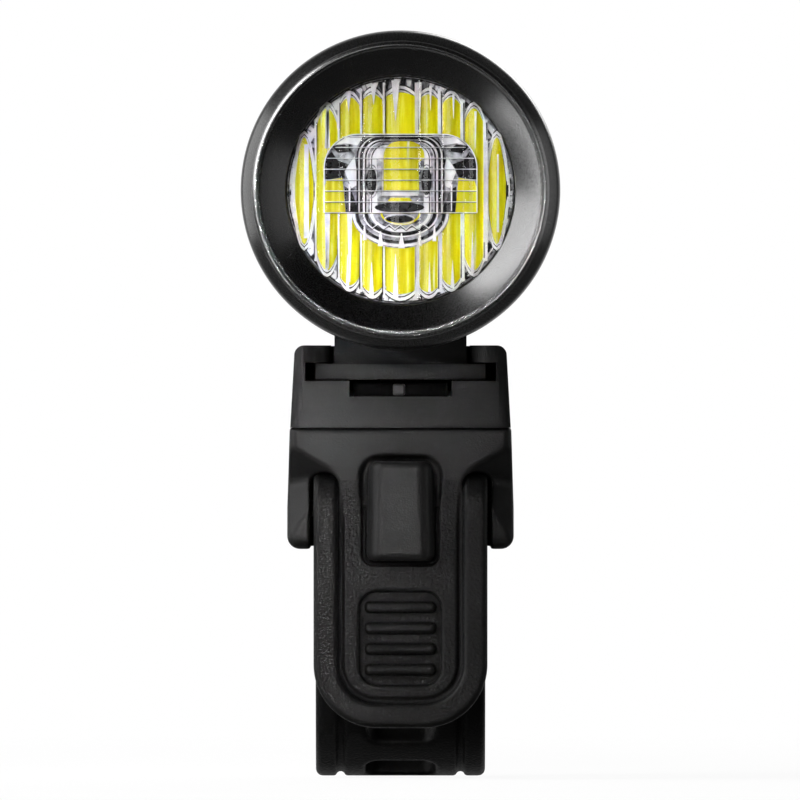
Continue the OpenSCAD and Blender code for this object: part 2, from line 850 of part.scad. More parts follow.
module saddle() {
    color("#232325") {
        difference() {
            intersection() {
                across(saddle_w) saddle_side();
                translate([0, 0, ear_z - 1]) linear_extrude(seam_z - ear_z + 1)
                    rounded(saddle_w, 2 * half_l, side_round);
            }
            xcyl(0, 0, saddle_r, 2 * saddle_w);
            // room for the strap in front, beside and below the nose
            block(2 * slot_half, -2 * half_l, -slot_depth, 0, nose_z);
            both_sides() span([nose_w / 2, -2 * half_l, 0], [slot_half, -slot_depth, slot_top_z]);
            // hollows beside the strap
            both_sides() translate([hollow_x, -hollow_y, hollow_z]) sphere(hollow_r);
            // room for the strap's rear end
            block(2 * slot_half, pin_y - eye_room, 2 * half_l, 0, pin_z + eye_room);
            xcyl(pin_y, pin_z, strap_pin_d / 2 + fit_gap, saddle_w - 1);
            // screws up into the rail
            for (x = [-1, 1], y = [-1, 1]) translate([x * base_screw_x, y * base_screw_y, 0]) {
                cylinder(h = seam_z + 1, r = screw_r + fit_gap);
                cylinder(h = seam_z - 2, r = head_r + fit_gap);
            }
        }
        xcyl(-cross_y, cross_z, cross_r, 2 * slot_half + 1);
        hook();
    }
}

module base_screws() {
    head_z = seam_z - 2 - head_t;
    color("#9a9a9c") for (x = [-1, 1], y = [-1, 1])
        translate([x * base_screw_x, y * base_screw_y, head_z]) difference() {
            union() {
                cylinder(h = head_t, r = head_r);
                cylinder(h = base_screw_l, r = screw_r);
            }
            translate([0, 0, -0.4]) cylinder(h = 1, r = 0.8, $fn = 6);
        }
}

// Rubber parts

module bar_pad() {
    reach = 52;
    color("#141414") difference() {
        rotate([0, 90, 0]) rotate([0, 0, 180 - reach]) rotate_extrude(angle = 2 * reach)
            translate([bar_r, -strap_w / 2]) square([pad_t, strap_w]);
        for (x = [-1, 1], y = [-1, 1]) translate([x * base_screw_x, y * base_screw_y, 0])
            cylinder(h = seam_z, r = head_r + fit_gap);
    }
}

// Section of the band with its outer grooves, x is the radius
module band_section() {
    half = strap_w / 2;
    groove = half - rim_w;
    edge = 0.7;
    outer = bar_r + strap_t;
    upper = [[outer, 0], [outer, groove - groove_w / 2], [outer - groove_d, groove],
        [outer, groove + groove_w / 2], [outer, half - edge], [outer - edge, half]];
    lower = [for (i = [len(upper) - 1 : -1 : 1]) [upper[i][0], -upper[i][1]]];
    polygon(concat([[bar_r, -half]], lower, upper, [[bar_r, half]]));
}

// Straight stretch of the band beside the bar, side is 1 at the rear and -1 in front
module band_leg(side, top) {
    rotate([0, 0, side > 0 ? 90 : -90]) linear_extrude(top) band_section();
}

module band_holes() {
    step = hole_pitch / band_y * 180 / PI;
    for (i = [0 : hole_count - 1]) rotate([41 + i * step, 0, 0])
        forwards(bar_r - 2, band_y + 2) rounded(hole_w, hole_l, 1.6);
}

// The two stretches beside the nose that fold over the cross bar
module fold_prongs() {
    inner = panel_w / 2;
    outer = strap_w / 2;
    both_sides() difference() {
        union() {
            translate([inner, -cross_y, cross_z]) rotate([0, 90, 0])
                cylinder(h = outer - inner, r = fold_r);
            span([inner, -cross_y - fold_r, bend_z + tab_t / 2 + bend_gap], [outer, -tab_back, cross_z]);
        }
        xcyl(-cross_y, cross_z, wrap_r, 2 * strap_w);
        span([0, -tab_back, -bar_r], [strap_w, -bar_r, cross_z]);
    }
}

// Upper end of the tab's panel, slotted for the hook
module tab_shoulders() {
    low = bend_z + tab_t / 2 + 0.3;
    high = nose_z - 0.4;
    difference() {
        block(panel_w + 2 * eps, -tab_front, -tab_back, low, high);
        block(hook_slot_w, -tab_front - 1, -tab_back + 1, crotch_z, high + 1);
    }
}

module strap() {
    back_top = ear_z - 0.5;
    color("#1a1a1a") {
        difference() {
            union() {
                rotate([0, 90, 0]) rotate([0, 0, -90]) rotate_extrude(angle = 180) band_section();
                band_leg(1, pin_z);
                band_leg(-1, cross_z);
                xcyl(pin_y, pin_z, eye_r, strap_w);
            }
            xcyl(pin_y, pin_z, strap_pin_d / 2 + fit_gap, strap_w + 2);
            block(panel_w, -band_y - 1, -bar_r + 1, back_top, cross_z + 1);
            band_holes();
        }
        fold_prongs();
        tab_shoulders();
    }
}

module strap_pin() {
    color("#a8a8aa") xcyl(pin_y, pin_z, strap_pin_d / 2, saddle_w - 1.2);
}

// Outline of the tab below its bend, drawn in by a margin
module tab_outline(margin) {
    half = tab_w / 2 - margin;
    low = -tab_drop + margin;
    r = tab_corner - margin / 2;
    polygon(concat([[-half, bend_z]], arc(-half + r, low + r, r, 180, 270),
        arc(half - r, low + r, r, 270, 360), [[half, bend_z]]));
}

module tab_grip() {
    ridge_w = grip_w - 2 * ridge_margin;
    pitch = (grip_h - 2 * ridge_margin) / grip_ridges;
    for (i = [0 : grip_ridges - 1])
        translate([0, (i - (grip_ridges - 1) / 2) * pitch]) square([ridge_w, ridge_h], center = true);
}

module strap_tab() {
    color("#1a1a1a") {
        difference() {
            union() {
                forwards(tab_back, tab_front) tab_outline(0);
                xcyl(-bend_y, bend_z, tab_t / 2, tab_w);
                // raised rim
                intersection() {
                    forwards(tab_front - eps, tab_front + rim_proud) difference() {
                        tab_outline(0);
                        tab_outline(rim_w);
                    }
                    block(2 * tab_w, -2 * half_l, 0, -2 * bar_r, rim_top_z);
                }
            }
            // groove inside the rim
            intersection() {
                forwards(tab_front - groove_d, tab_front + rim_proud + 1) difference() {
                    tab_outline(rim_w);
                    tab_outline(rim_w + groove_w);
                }
                block(2 * tab_w, -2 * half_l, 0, -2 * bar_r, rim_top_z);
            }
            translate([0, 0, grip_z]) forwards(tab_front - grip_d, tab_front + 1)
                rounded(grip_w, grip_h, grip_round);
        }
        translate([0, 0, grip_z]) forwards(tab_front - grip_d - eps, tab_front) tab_grip();
    }
}

bezel();
lens();
lens_gasket();
optic_holder();
led_emitter();
led_board();
led_leads();
heat_sink();
housing();
housing_seal();
rear_cap();
rear_cap_seal();
cap_screws();
battery_cell();
battery_cradle();
battery_contacts();
main_board();
tact_switch();
usb_socket();
indicator_window();
power_button();
button_ring();
port_cover();
foot();
foot_screws();
rail_base();
latch_lever();
latch_pin();
latch_spring();
saddle();
base_screws();
bar_pad();
strap();
strap_pin();
strap_tab();
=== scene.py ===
"""Bicycle headlight on its handlebar mount: the looks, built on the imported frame."""
import json
import math
import random

import bmesh
import bpy
import mathutils
import numpy as np
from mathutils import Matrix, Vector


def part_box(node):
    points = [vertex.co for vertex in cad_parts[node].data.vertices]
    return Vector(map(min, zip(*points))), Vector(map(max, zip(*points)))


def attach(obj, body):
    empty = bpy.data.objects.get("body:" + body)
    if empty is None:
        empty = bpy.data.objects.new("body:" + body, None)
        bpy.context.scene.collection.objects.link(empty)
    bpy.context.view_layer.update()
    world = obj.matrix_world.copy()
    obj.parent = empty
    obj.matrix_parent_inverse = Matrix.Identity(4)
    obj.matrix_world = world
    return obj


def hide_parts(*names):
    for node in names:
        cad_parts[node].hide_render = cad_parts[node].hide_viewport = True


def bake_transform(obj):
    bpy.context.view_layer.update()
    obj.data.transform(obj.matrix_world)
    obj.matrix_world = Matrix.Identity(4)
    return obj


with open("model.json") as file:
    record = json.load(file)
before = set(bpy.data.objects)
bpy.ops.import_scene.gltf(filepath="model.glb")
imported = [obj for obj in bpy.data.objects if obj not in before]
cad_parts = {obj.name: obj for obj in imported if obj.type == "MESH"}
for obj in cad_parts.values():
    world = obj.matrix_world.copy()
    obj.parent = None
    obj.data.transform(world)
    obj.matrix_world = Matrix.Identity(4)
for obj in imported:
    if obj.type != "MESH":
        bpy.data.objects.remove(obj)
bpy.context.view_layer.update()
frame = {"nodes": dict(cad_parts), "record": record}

NODES = frame["nodes"]
MM = 0.001

# Sizes in millimetres, as in the part's source
BAR_R = 12.7
STRAP_T = 2.8
STRAP_HALF = 8.55
CROSS_Y, CROSS_Z = -16.4, 11.6
WRAP_R = 0.9
FOLD_R = WRAP_R + STRAP_T
TAB_BACK, TAB_FRONT, RIM_FRONT = -17.3, -19.5, -20.1
TAB_HALF = 8.75
TAB_LOW = -10.5
RIM_W = 2.5
PRONG_IN = TAB_HALF - RIM_W - 0.05
PIN_Y, PIN_Z, EYE_R, PIN_R = 14.1, 10.1, 2.4, 1.05
SEAM_Z = 19.7
SADDLE_HALF = 11.4
SADDLE_R = 14.3
HALF_L = 19.2
SLOT_HALF = 9.1
SCREW_X, SCREW_Y = 8.2, 9.0
AXIS_Z = 43.5
FRONT_Y = -40.2
LENS_R = 11.4
FLANGE_Y = -36.4


def millimetres(node):
    """Lowest and highest corner of a CAD node, in millimetres."""
    low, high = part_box(node)
    return np.array(low) / MM, np.array(high) / MM


# Materials

# Painted shade in tight corners: how far the occlusion looks, the occlusion where the shade is full and
# where it ends, and its samples
CREASE_REACH = 2.5
CREASE_DARK, CREASE_OPEN = 0.40, 0.95
CREASE_SAMPLES = 8
NOISE_LOW, NOISE_HIGH = 0.3, 0.7
GLOSS_SWING = 0.07
COAT_ROUGHNESS = 0.05
ANODISED = (0.0012, 0.0012, 0.0012)
LIP_SHINE = (0.18, 0.18, 0.18)
LIP_EDGE = 0.1
CLEAR_IOR = 1.3


def new_material(name, colour, roughness, metallic=0.0, specular=0.5, coat=0.0):
    material = bpy.data.materials.new(name)
    material.use_nodes = True
    shader = material.node_tree.nodes["Principled BSDF"]
    shader.inputs["Base Color"].default_value = (*colour, 1.0)
    shader.inputs["Roughness"].default_value = roughness
    shader.inputs["Metallic"].default_value = metallic
    shader.inputs["Specular IOR Level"].default_value = specular
    shader.inputs["Coat Weight"].default_value = coat
    shader.inputs["Coat Roughness"].default_value = COAT_ROUGHNESS
    return material, material.node_tree, shader


def noise(tree, size_mm, detail=3.0, stretch=(1.0, 1.0, 1.0)):
    """Noise whose features are about size_mm across, in the piece's own space."""
    coords = tree.nodes.new("ShaderNodeTexCoord")
    mapping = tree.nodes.new("ShaderNodeMapping")
    mapping.inputs["Scale"].default_value = stretch
    tree.links.new(coords.outputs["Object"], mapping.inputs["Vector"])
    node = tree.nodes.new("ShaderNodeTexNoise")
    node.inputs["Scale"].default_value = 1.0 / (size_mm * MM)
    node.inputs["Detail"].default_value = detail
    tree.links.new(mapping.outputs["Vector"], node.inputs["Vector"])
    return node.outputs["Fac"]


def ramp(tree, value, stops):
    """Colours along a value from 0 to 1."""
    node = tree.nodes.new("ShaderNodeValToRGB")
    elements = node.color_ramp.elements
    while len(elements) < len(stops):
        elements.new(0.5)
    for element, (place, colour) in zip(elements, stops):
        element.position = place
        element.color = (*colour, 1.0)
    tree.links.new(value, node.inputs["Fac"])
    return node.outputs["Color"]


def map_range(tree, value, start=0.0, end=1.0, low=0.0, high=1.0):
    """Value between start and end, spread over the range from low to high."""
    node = tree.nodes.new("ShaderNodeMapRange")
    for key, limit in (("From Min", start), ("From Max", end), ("To Min", low), ("To Max", high)):
        node.inputs[key].default_value = limit
    tree.links.new(value, node.inputs["Value"])
    return node.outputs["Result"]


def along_y(tree, space):
    """Place along y, in a space of the texture coordinates."""
    coords = tree.nodes.new("ShaderNodeTexCoord")
    split = tree.nodes.new("ShaderNodeSeparateXYZ")
    tree.links.new(coords.outputs[space], split.inputs["Vector"])
    return split.outputs["Y"]


def emboss(tree, shader, height, depth_mm):
    """Raises the surface by a height pattern."""
    node = tree.nodes.new("ShaderNodeBump")
    node.inputs["Strength"].default_value = 1.0
    node.inputs["Distance"].default_value = depth_mm * MM
    tree.links.new(height, node.inputs["Height"])
    tree.links.new(node.outputs["Normal"], shader.inputs["Normal"])


def scaled(colour, factor):
    """The colour made lighter or darker."""
    return tuple(min(1.0, c * factor) for c in colour)


def paint_crease_shade(tree, shader, tint, depth):
    """Paints shade into a surface's tight corners: darker colour and less specular where ambient occlusion
    finds nearby surfaces.
    """
    hidden = tree.nodes.new("ShaderNodeAmbientOcclusion")
    hidden.samples = CREASE_SAMPLES
    hidden.inputs["Distance"].default_value = CREASE_REACH * MM
    shade = map_range(tree, hidden.outputs["AO"], CREASE_DARK, CREASE_OPEN, 1.0 - depth)
    tinted = tree.nodes.new("ShaderNodeVectorMath")
    tinted.operation = "SCALE"
    tree.links.new(tint, tinted.inputs[0])
    tree.links.new(shade, tinted.inputs["Scale"])
    tree.links.new(tinted.outputs["Vector"], shader.inputs["Base Color"])
    specular = shader.inputs["Specular IOR Level"]
    tree.links.new(map_range(tree, shade, high=specular.default_value), specular)


def textured(name, colour, roughness, grain_mm, depth_mm, broad_mm=6.0, spread=0.2, crease_shade=0.0, **finish):
    """A surface with fine grain, a broad change of tint and gloss, and painted shade in its creases."""
    material, tree, shader = new_material(name, colour, roughness, **finish)
    grain = noise(tree, grain_mm)
    broad = noise(tree, broad_mm)
    tint = ramp(tree, broad, [(NOISE_LOW, scaled(colour, 1 - spread)),
                              (NOISE_HIGH, scaled(colour, 1 + spread))])
    tree.links.new(tint, shader.inputs["Base Color"])
    if crease_shade:
        paint_crease_shade(tree, shader, tint, crease_shade)
    gloss = map_range(tree, grain, NOISE_LOW, NOISE_HIGH,
                      max(0.02, roughness - GLOSS_SWING), roughness + GLOSS_SWING)
    tree.links.new(gloss, shader.inputs["Roughness"])
    emboss(tree, shader, grain, depth_mm)
    return material


def anodised(name, roughness=0.26, specular=0.8):
    """Black anodised metal, whose dark skin gives the colour."""
    return textured(name, ANODISED, roughness, 0.05, 0.0006, specular=specular)


def clear_material(name):
    """Clear moulding: a bright skin over see-through plastic."""
    material, tree, shader = new_material(name, (0.97, 0.98, 1.0), 0.05, metallic=1.0)
    fresnel = tree.nodes.new("ShaderNodeFresnel")
    fresnel.inputs["IOR"].default_value = CLEAR_IOR
    tree.links.new(fresnel.outputs["Fac"], shader.inputs["Alpha"])
    emboss(tree, shader, noise(tree, 1.5), 0.01)
    return material


def lipped_material(name, lip_y):
    """The anodised finish with a polished lip in front of a plane across the axis."""
    material = anodised(name)
    tree = material.node_tree
    shader = tree.nodes["Principled BSDF"]
    lip = map_range(tree, along_y(tree, "Object"), (lip_y + LIP_EDGE) * MM, lip_y * MM)
    tree.links.new(lip, shader.inputs["Metallic"])
    tint = ramp(tree, lip, [(0.0, ANODISED), (1.0, LIP_SHINE)])
    tree.links.new(tint, shader.inputs["Base Color"])
    return material


MATERIALS = {
    "anodised_black": anodised("anodised"),
    # the plastic and the strap's rubber get painted shade in their creases
    "body_plastic": textured("fine_plastic", (0.0065, 0.0065, 0.0065), 0.44, 0.20, 0.026, crease_shade=0.88,
                             specular=0.12),
    "strap_rubber": textured("grained_rubber", (0.0038, 0.0038, 0.0038), 0.46, 0.28, 0.07, crease_shade=0.60,
                             specular=0.10),
    "soft_rubber": textured("smooth_rubber", (0.009, 0.009, 0.009), 0.60, 0.12, 0.010, specular=0.25),
    "seal_rubber": textured("seal_rubber", (0.05, 0.04, 0.04), 0.6, 0.1, 0.005),
    "inner_plastic": textured("inner_plastic", (0.06, 0.06, 0.065), 0.5, 0.1, 0.005),
    "led_yellow": textured("phosphor", (0.68, 0.62, 0.008), 0.32, 0.3, 0.004, spread=0.06, coat=0.4),
    "board_white": textured("white_mask", (0.8, 0.8, 0.78), 0.4, 0.2, 0.003, spread=0.05),
    "lead_red": textured("red_sleeve", (0.5, 0.04, 0.04), 0.4, 0.1, 0.003),
    "bare_aluminium": textured("turned_aluminium", (0.62, 0.63, 0.64), 0.3, 0.08, 0.004, metallic=1.0),
    "screw_steel": textured("screw_steel", (0.5, 0.5, 0.51), 0.32, 0.06, 0.004, metallic=1.0),
    "cell_sleeve": textured("shrink_sleeve", (0.05, 0.2, 0.4), 0.3, 0.3, 0.004),
    "board_green": textured("green_mask", (0.03, 0.2, 0.07), 0.35, 0.2, 0.003),
    "clear_lens": clear_material("clear_moulding"),
}


# Meshes

def outward(mesh):
    """Turns all faces outwards."""
    shell = bmesh.new()
    shell.from_mesh(mesh)
    bmesh.ops.recalc_face_normals(shell, faces=shell.faces)
    shell.to_mesh(mesh)
    shell.free()


def add_piece(name, body, slot, points, faces, replaced=(), material=None, smooth=True):
    """Adds a mesh given in millimetres, which moves with a CAD body."""
    mesh = bpy.data.meshes.new(name)
    mesh.from_pydata((np.asarray(points, float) * MM).tolist(), [], [list(f) for f in faces])
    outward(mesh)
    obj = bpy.data.objects.new(name, mesh)
    bpy.context.scene.collection.objects.link(obj)
    mesh.materials.append(material or MATERIALS[slot])
    mesh.polygons.foreach_set("use_smooth", [smooth] * len(mesh.polygons))
    if body:
        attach(obj, body)
    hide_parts(*replaced)
    return obj


def ring_faces(rings, sides, closed=False):
    """Quads between neighbouring rings of points."""
    faces = []
    for i in range(rings if closed else rings - 1):
        j = (i + 1) % rings
        for k in range(sides):
            m = (k + 1) % sides
            faces.append((i * sides + k, i * sides + m, j * sides + m, j * sides + k))
    return faces


def lathe(profile, centre, axis, steps):
    """Points and faces of a closed profile of (radius, along) turned about an axis."""
    profile = np.asarray(profile, float)
    angles = np.linspace(0, 2 * math.pi, steps, endpoint=False)
    radius, along = profile[:, 0], profile[:, 1]
    a = np.outer(np.cos(angles), radius)
    b = np.outer(np.sin(angles), radius)
    c = np.broadcast_to(along, a.shape)
    order = {"x": (c, a, b), "y": (a, c, b), "z": (a, b, c)}[axis]
    points = np.stack(order, axis=-1).reshape(-1, 3) + np.asarray(centre, float)
    return points, ring_faces(steps, len(profile), True)


def rounded_profile(corners, segments=5):
    """Polygon of (x, y, radius) corners with each corner rounded."""
    result = []
    count = len(corners)
    for i in range(count):
        here = np.array(corners[i][:2], float)
        before = np.array(corners[i - 1][:2], float) - here
        after = np.array(corners[(i + 1) % count][:2], float) - here
        reach = corners[i][2]
        if reach <= 0:
            result.append(here)
            continue
        reach = min(reach, 0.45 * np.linalg.norm(before), 0.45 * np.linalg.norm(after))
        start = here + before / np.linalg.norm(before) * reach
        end = here + after / np.linalg.norm(after) * reach
        for t in np.linspace(0, 1, segments):
            result.append((1 - t) ** 2 * start + 2 * t * (1 - t) * here + t * t * end)
    return result


# Solid fields: negative inside, in millimetres

def axes(low, high, step):
    """Open grids of x, y and z that cover a box."""
    lines = [np.arange(a, b + step, step) for a, b in zip(low, high)]
    return np.ix_(*lines)


def box_field(place, low, high, r=0.0):
    """Box with round edges, in as many directions as are given."""
    away = 0.0
    inner = None
    for p, a, b in zip(place, low, high):
        q = np.abs(p - (a + b) / 2) - (b - a) / 2 + r
        away = away + np.maximum(q, 0) ** 2
        inner = q if inner is None else np.maximum(inner, q)
    return np.sqrt(away) + np.minimum(inner, 0) - r


def join(a, b, k=0.0):
    """Union, with a fillet of about k."""
    if k <= 0:
        return np.minimum(a, b)
    h = np.maximum(k - np.abs(a - b), 0) / k
    return np.minimum(a, b) - h * h * k / 4


def cut(a, b, k=0.0):
    """a without b, with the edge eased by about k."""
    return -join(-a, b, k)


def within(a, b, k=0.0):
    """What is in both."""
    return -join(-a, -b, k)


CORNERS = np.array([(i, j, k) for i in (0, 1) for j in (0, 1) for k in (0, 1)])


def cell_points(field, active):
    """Mean crossing of the edges of each active cell, in steps from the grid's corner."""
    base = np.argwhere(active)
    total = np.zeros((len(base), 3))
    weight = np.zeros(len(base))
    for a in CORNERS:
        for axis in range(3):
            if a[axis]:
                continue
            b = a.copy()
            b[axis] = 1
            fa = field[tuple((base + a).T)]
            fb = field[tuple((base + b).T)]
            crosses = (fa < 0) != (fb < 0)
            t = fa[crosses] / (fa[crosses] - fb[crosses])
            total[crosses] += a + t[:, None] * (b - a)
            weight[crosses] += 1
    return base + total / weight[:, None]


def cell_quads(inside, index, axis):
    """Quads round the crossed edges along one axis."""
    size = inside.shape
    first = [slice(None)] * 3
    second = [slice(None)] * 3
    first[axis] = slice(0, -1)
    second[axis] = slice(1, None)
    starts = inside[tuple(first)]
    edge = np.argwhere(starts != inside[tuple(second)])
    u, v = (axis + 1) % 3, (axis + 2) % 3
    edge = edge[(edge[:, u] > 0) & (edge[:, v] > 0)
                & (edge[:, u] < size[u] - 1) & (edge[:, v] < size[v] - 1)]
    eu, ev = np.eye(3, dtype=int)[u], np.eye(3, dtype=int)[v]
    ring = [index[tuple((edge - d).T)] for d in (eu + ev, ev, 0 * eu, eu)]
    quad = np.stack(ring, axis=-1)
    flip = ~starts[tuple(edge.T)]
    quad[flip] = quad[flip][:, ::-1]
    return quad


def surface(field, low, step):
    """Points and quads of a field's zero level, by naive surface nets."""
    inside = field < 0
    size = np.array(field.shape)
    count = np.zeros(size - 1, np.int8)
    for c in CORNERS:
        count += inside[tuple(slice(s, n - 1 + s) for s, n in zip(c, size))]
    active = (count > 0) & (count < len(CORNERS))
    index = np.full(active.shape, -1, np.int64)
    index[active] = np.arange(active.sum())
    points = np.asarray(low, float) + cell_points(field, active) * step
    return points, np.concatenate([cell_quads(inside, index, axis) for axis in range(3)])


# Saddle, strap and tab

DENT_R = 0.35
SEAM_STEP = 0.11
ROOM_Y = -12.2
SHAFT_R = 1.95
CROSS_R = 0.8
RIDGES, RIDGE_PITCH, RIDGE_HALF = 4, 2.1, 0.52
FAR_OFF = 9.0


def hook_dent(x, z):
    """Dent round the root of the hook, and how it fades out downwards."""
    dent = np.abs(box_field((x, z), (-3.7, 6.0), (3.7, 16.4), 1.5)) - DENT_R
    fade = 0.9 * np.clip((13.0 - z) / 3.0, 0, 1)
    return dent, fade


def saddle_block(x, y, z):
    """Outer form, whose sides flare a little towards the bar, with the bar's bore."""
    flare = 0.25 * np.clip((SEAM_Z - z) / 8.0, 0, 1)
    half = SADDLE_HALF - 0.25
    plan = box_field((np.abs(x) - flare, y), (-half, -HALF_L), (half, HALF_L), 0.9)
    ends = box_field((np.maximum(plan, -3.0), z), (-9.0, 7.5), (0.0, SEAM_Z + 3.0), 1.3)
    # a fine step along the seam, at the front and back alone
    seam = SEAM_Z - SEAM_STEP * np.clip((np.abs(y) - HALF_L + 0.9) / 0.3, 0, 1)
    body = within(ends, z - seam, 0.06)
    return cut(body, np.hypot(y, z) - SADDLE_R + 0 * x)


def strap_room(x, y, z):
    """Room for the strap's prongs at the front, beside the saddle's nose."""
    front = box_field((x, y, z), (-SLOT_HALF, -40, -9), (SLOT_HALF, ROOM_Y, CROSS_Z), 0.3)
    fold = box_field((np.abs(x), z), (PRONG_IN, -9), (SLOT_HALF, 15.2), 1.3)
    fold = np.maximum(fold, y - ROOM_Y)
    nose = box_field((x, y, z), (-PRONG_IN, -40, 12.8), (PRONG_IN, 0, 30), 0.2)
    return cut(join(front, fold), nose)


def saddle_hollow(side, y, z):
    """Hollows beside the strap's prongs, between a sloping brow and a sill."""
    depth = y + HALF_L
    brow = 0.61 * (z - 15.4 - 0.57 * (side - 6.7)) + 0.70 * depth
    sill = 0.45 * (11.9 - 1.3 * (side - 8.9) - z) + 0.70 * depth
    return within(brow, within(sill, 0.9 * (6.0 - side) + 0.45 * depth, 0.6), 0.8)


def saddle_hook(x, y, z):
    """A stem through the strap's slot and a block that stands proud."""
    taper = 0.03 * np.maximum(z - 8.0, 0) + 0.5 * np.clip(RIM_FRONT - y, 0, 1.5)
    stem = box_field((x, y, z), (-2.8, -20.6, 9.1), (2.8, -16.5, 15.6), 0.3)
    block = box_field((np.abs(x) + taper, y, z), (-3.42, -21.6, 6.3), (3.42, -19.0, 16.3), 0.75)
    under = box_field((x, y, z), (-9.0, -19.8, 0.0), (9.0, 0.0, 9.1), 0.2)
    return join(stem, cut(block, under), 0.3)


def make_saddle():
    """Lower moulding on the bar, with the hook and the cross bar that hold the strap."""
    step = 0.2
    low = np.array([-SADDLE_HALF - 0.6, -22.4, 5.6])
    high = np.array([SADDLE_HALF + 0.6, HALF_L + 0.6, SEAM_Z + 0.4])
    x, y, z = axes(low, high, step)
    side = np.abs(x)
    body = cut(saddle_block(x, y, z), strap_room(x, y, z), 0.15)
    rear = box_field((x, y, z), (-SLOT_HALF, 11.2, -9), (SLOT_HALF, 40, 13.0), 0.5)
    body = cut(body, rear, 0.4)
    body = cut(body, saddle_hollow(side, y, z), 0.3)
    for b in (-1, 1):
        shaft = np.maximum(np.hypot(side - SCREW_X, y - b * SCREW_Y) - SHAFT_R, z - 17.7)
        body = cut(body, shaft, 0.1)
    dent, fade = hook_dent(x, z)
    body = cut(body, np.maximum(dent, np.abs(y + HALF_L) - DENT_R) + fade, 0.3)
    body = join(body, saddle_hook(x, y, z), 0.2)
    bar = np.hypot(y - CROSS_Y, z - CROSS_Z) - CROSS_R
    body = join(body, np.maximum(bar, side - 9.6), 0.2)
    points, faces = surface(body + 0 * (x + y + z), low, step)
    add_piece("saddle_shell", "mount", "body_plastic", points, faces, ["saddle"])


def u_edge(x, z):
    """Distance to the tab's U-shaped outline, open at the top."""
    return box_field((x, z), (-TAB_HALF, TAB_LOW), (TAB_HALF, 60.0), 6.4)


def tab_panel(x, y, z, edge, lean):
    """Flat panel of the tab, which narrows to fit between the prongs at its top."""
    panel = box_field((edge, y), (-60, TAB_FRONT), (-0.4, TAB_BACK), 0.35)
    panel = within(panel, z - 15.4 + 0 * x, 0.1)
    panel = within(panel, lean - y + 0 * x, 0.1)
    return within(panel, np.abs(x) - np.where(z > CROSS_Z, PRONG_IN - 0.03, 60.0) + 0 * y, 0.1)


def tab_rim(x, y, z, edge):
    """Rims that run up into the prongs and fold over the cross bar."""
    around = np.where(z > CROSS_Z, np.hypot(y - CROSS_Y, z - CROSS_Z), CROSS_Y - y)
    rim = box_field((edge + 0 * y, around + 0 * x), (-RIM_W, WRAP_R), (0.0, FOLD_R), 0.6)
    return np.where((y > CROSS_Y) & (z < CROSS_Z - 1.0), FAR_OFF, rim)


def with_grip(tab, x, y, z):
    """The tab with its grip pocket and the ridges in it."""
    pocket = box_field((x, z), (-4.15, -6.25), (4.15, 3.25), 1.8)
    pocket = np.maximum(pocket + 0 * y, y - (TAB_FRONT + 0.65) + 0 * x)
    ridges = None
    for i in range(RIDGES):
        middle = -1.5 + (i - 1.5) * RIDGE_PITCH
        ridge = box_field((x, y, z), (-3.5, TAB_FRONT - 0.02, middle - RIDGE_HALF),
                          (3.5, TAB_FRONT + 1.5, middle + RIDGE_HALF), 0.42)
        ridges = ridge if ridges is None else np.minimum(ridges, ridge)
    return join(cut(tab, pocket, 0.25), ridges, 0.1)


def with_hook_slot(tab, x, y, z, lean):
    """The tab with the slot behind the hook, and the dent and the groove round the hook."""
    slot = box_field((x, y, z), (-2.9, -30, 7.9), (2.9, 0, 40), 0.6)
    tab = cut(tab, slot, 0.15)
    dent, fade = hook_dent(x, z)
    tab = cut(tab, np.maximum(dent + 0 * y, np.abs(y - lean) - DENT_R) + fade, 0.3)
    moat = np.abs(box_field((x, z), (-3.66, 6.05), (3.66, 30.0), 0.9)) - 0.22
    return cut(tab, np.maximum(moat + 0 * y, np.abs(y - lean) - 0.7), 0.1)


def make_tab():
    """Rubber pull tab, with its rims, grip pocket and the slot round the hook."""
    step = 0.11
    low = np.array([-TAB_HALF - 0.4, RIM_FRONT - 0.5, TAB_LOW - 0.4])
    high = np.array([TAB_HALF + 0.4, -12.0, 17.2])
    x, y, z = axes(low, high, step)
    edge = u_edge(x, z)
    # the panel's top leans back into the saddle's face
    lean = TAB_FRONT + 0.055 * np.maximum(z - 9.0, 0)
    tab = join(tab_panel(x, y, z, edge, lean), tab_rim(x, y, z, edge), 0.15)
    groove = np.hypot(edge + RIM_W + 0.25, y - TAB_FRONT + 0.12) - 0.36
    tab = cut(tab, np.maximum(groove, z - 14.0), 0.12)
    tab = with_hook_slot(with_grip(tab, x, y, z), x, y, z, lean)
    points, faces = surface(tab, low, step)
    piece = add_piece("pull_tab", None, "strap_rubber", points, faces, ["strap_tab"])
    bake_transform(piece)


REAR_L = PIN_Z
ARC_L = math.pi * BAR_R
FRONT_L = CROSS_Z + 0.2


def band_place(s, x, t):
    """Puts a point of the flat band in its place round the bar."""
    turn = np.clip((s - REAR_L) / BAR_R, 0, math.pi)
    r = BAR_R + t
    rear = np.maximum(REAR_L - s, 0)
    front = np.maximum(s - REAR_L - ARC_L, 0)
    return np.stack([x, r * np.cos(turn), -r * np.sin(turn) + rear + front], axis=-1)


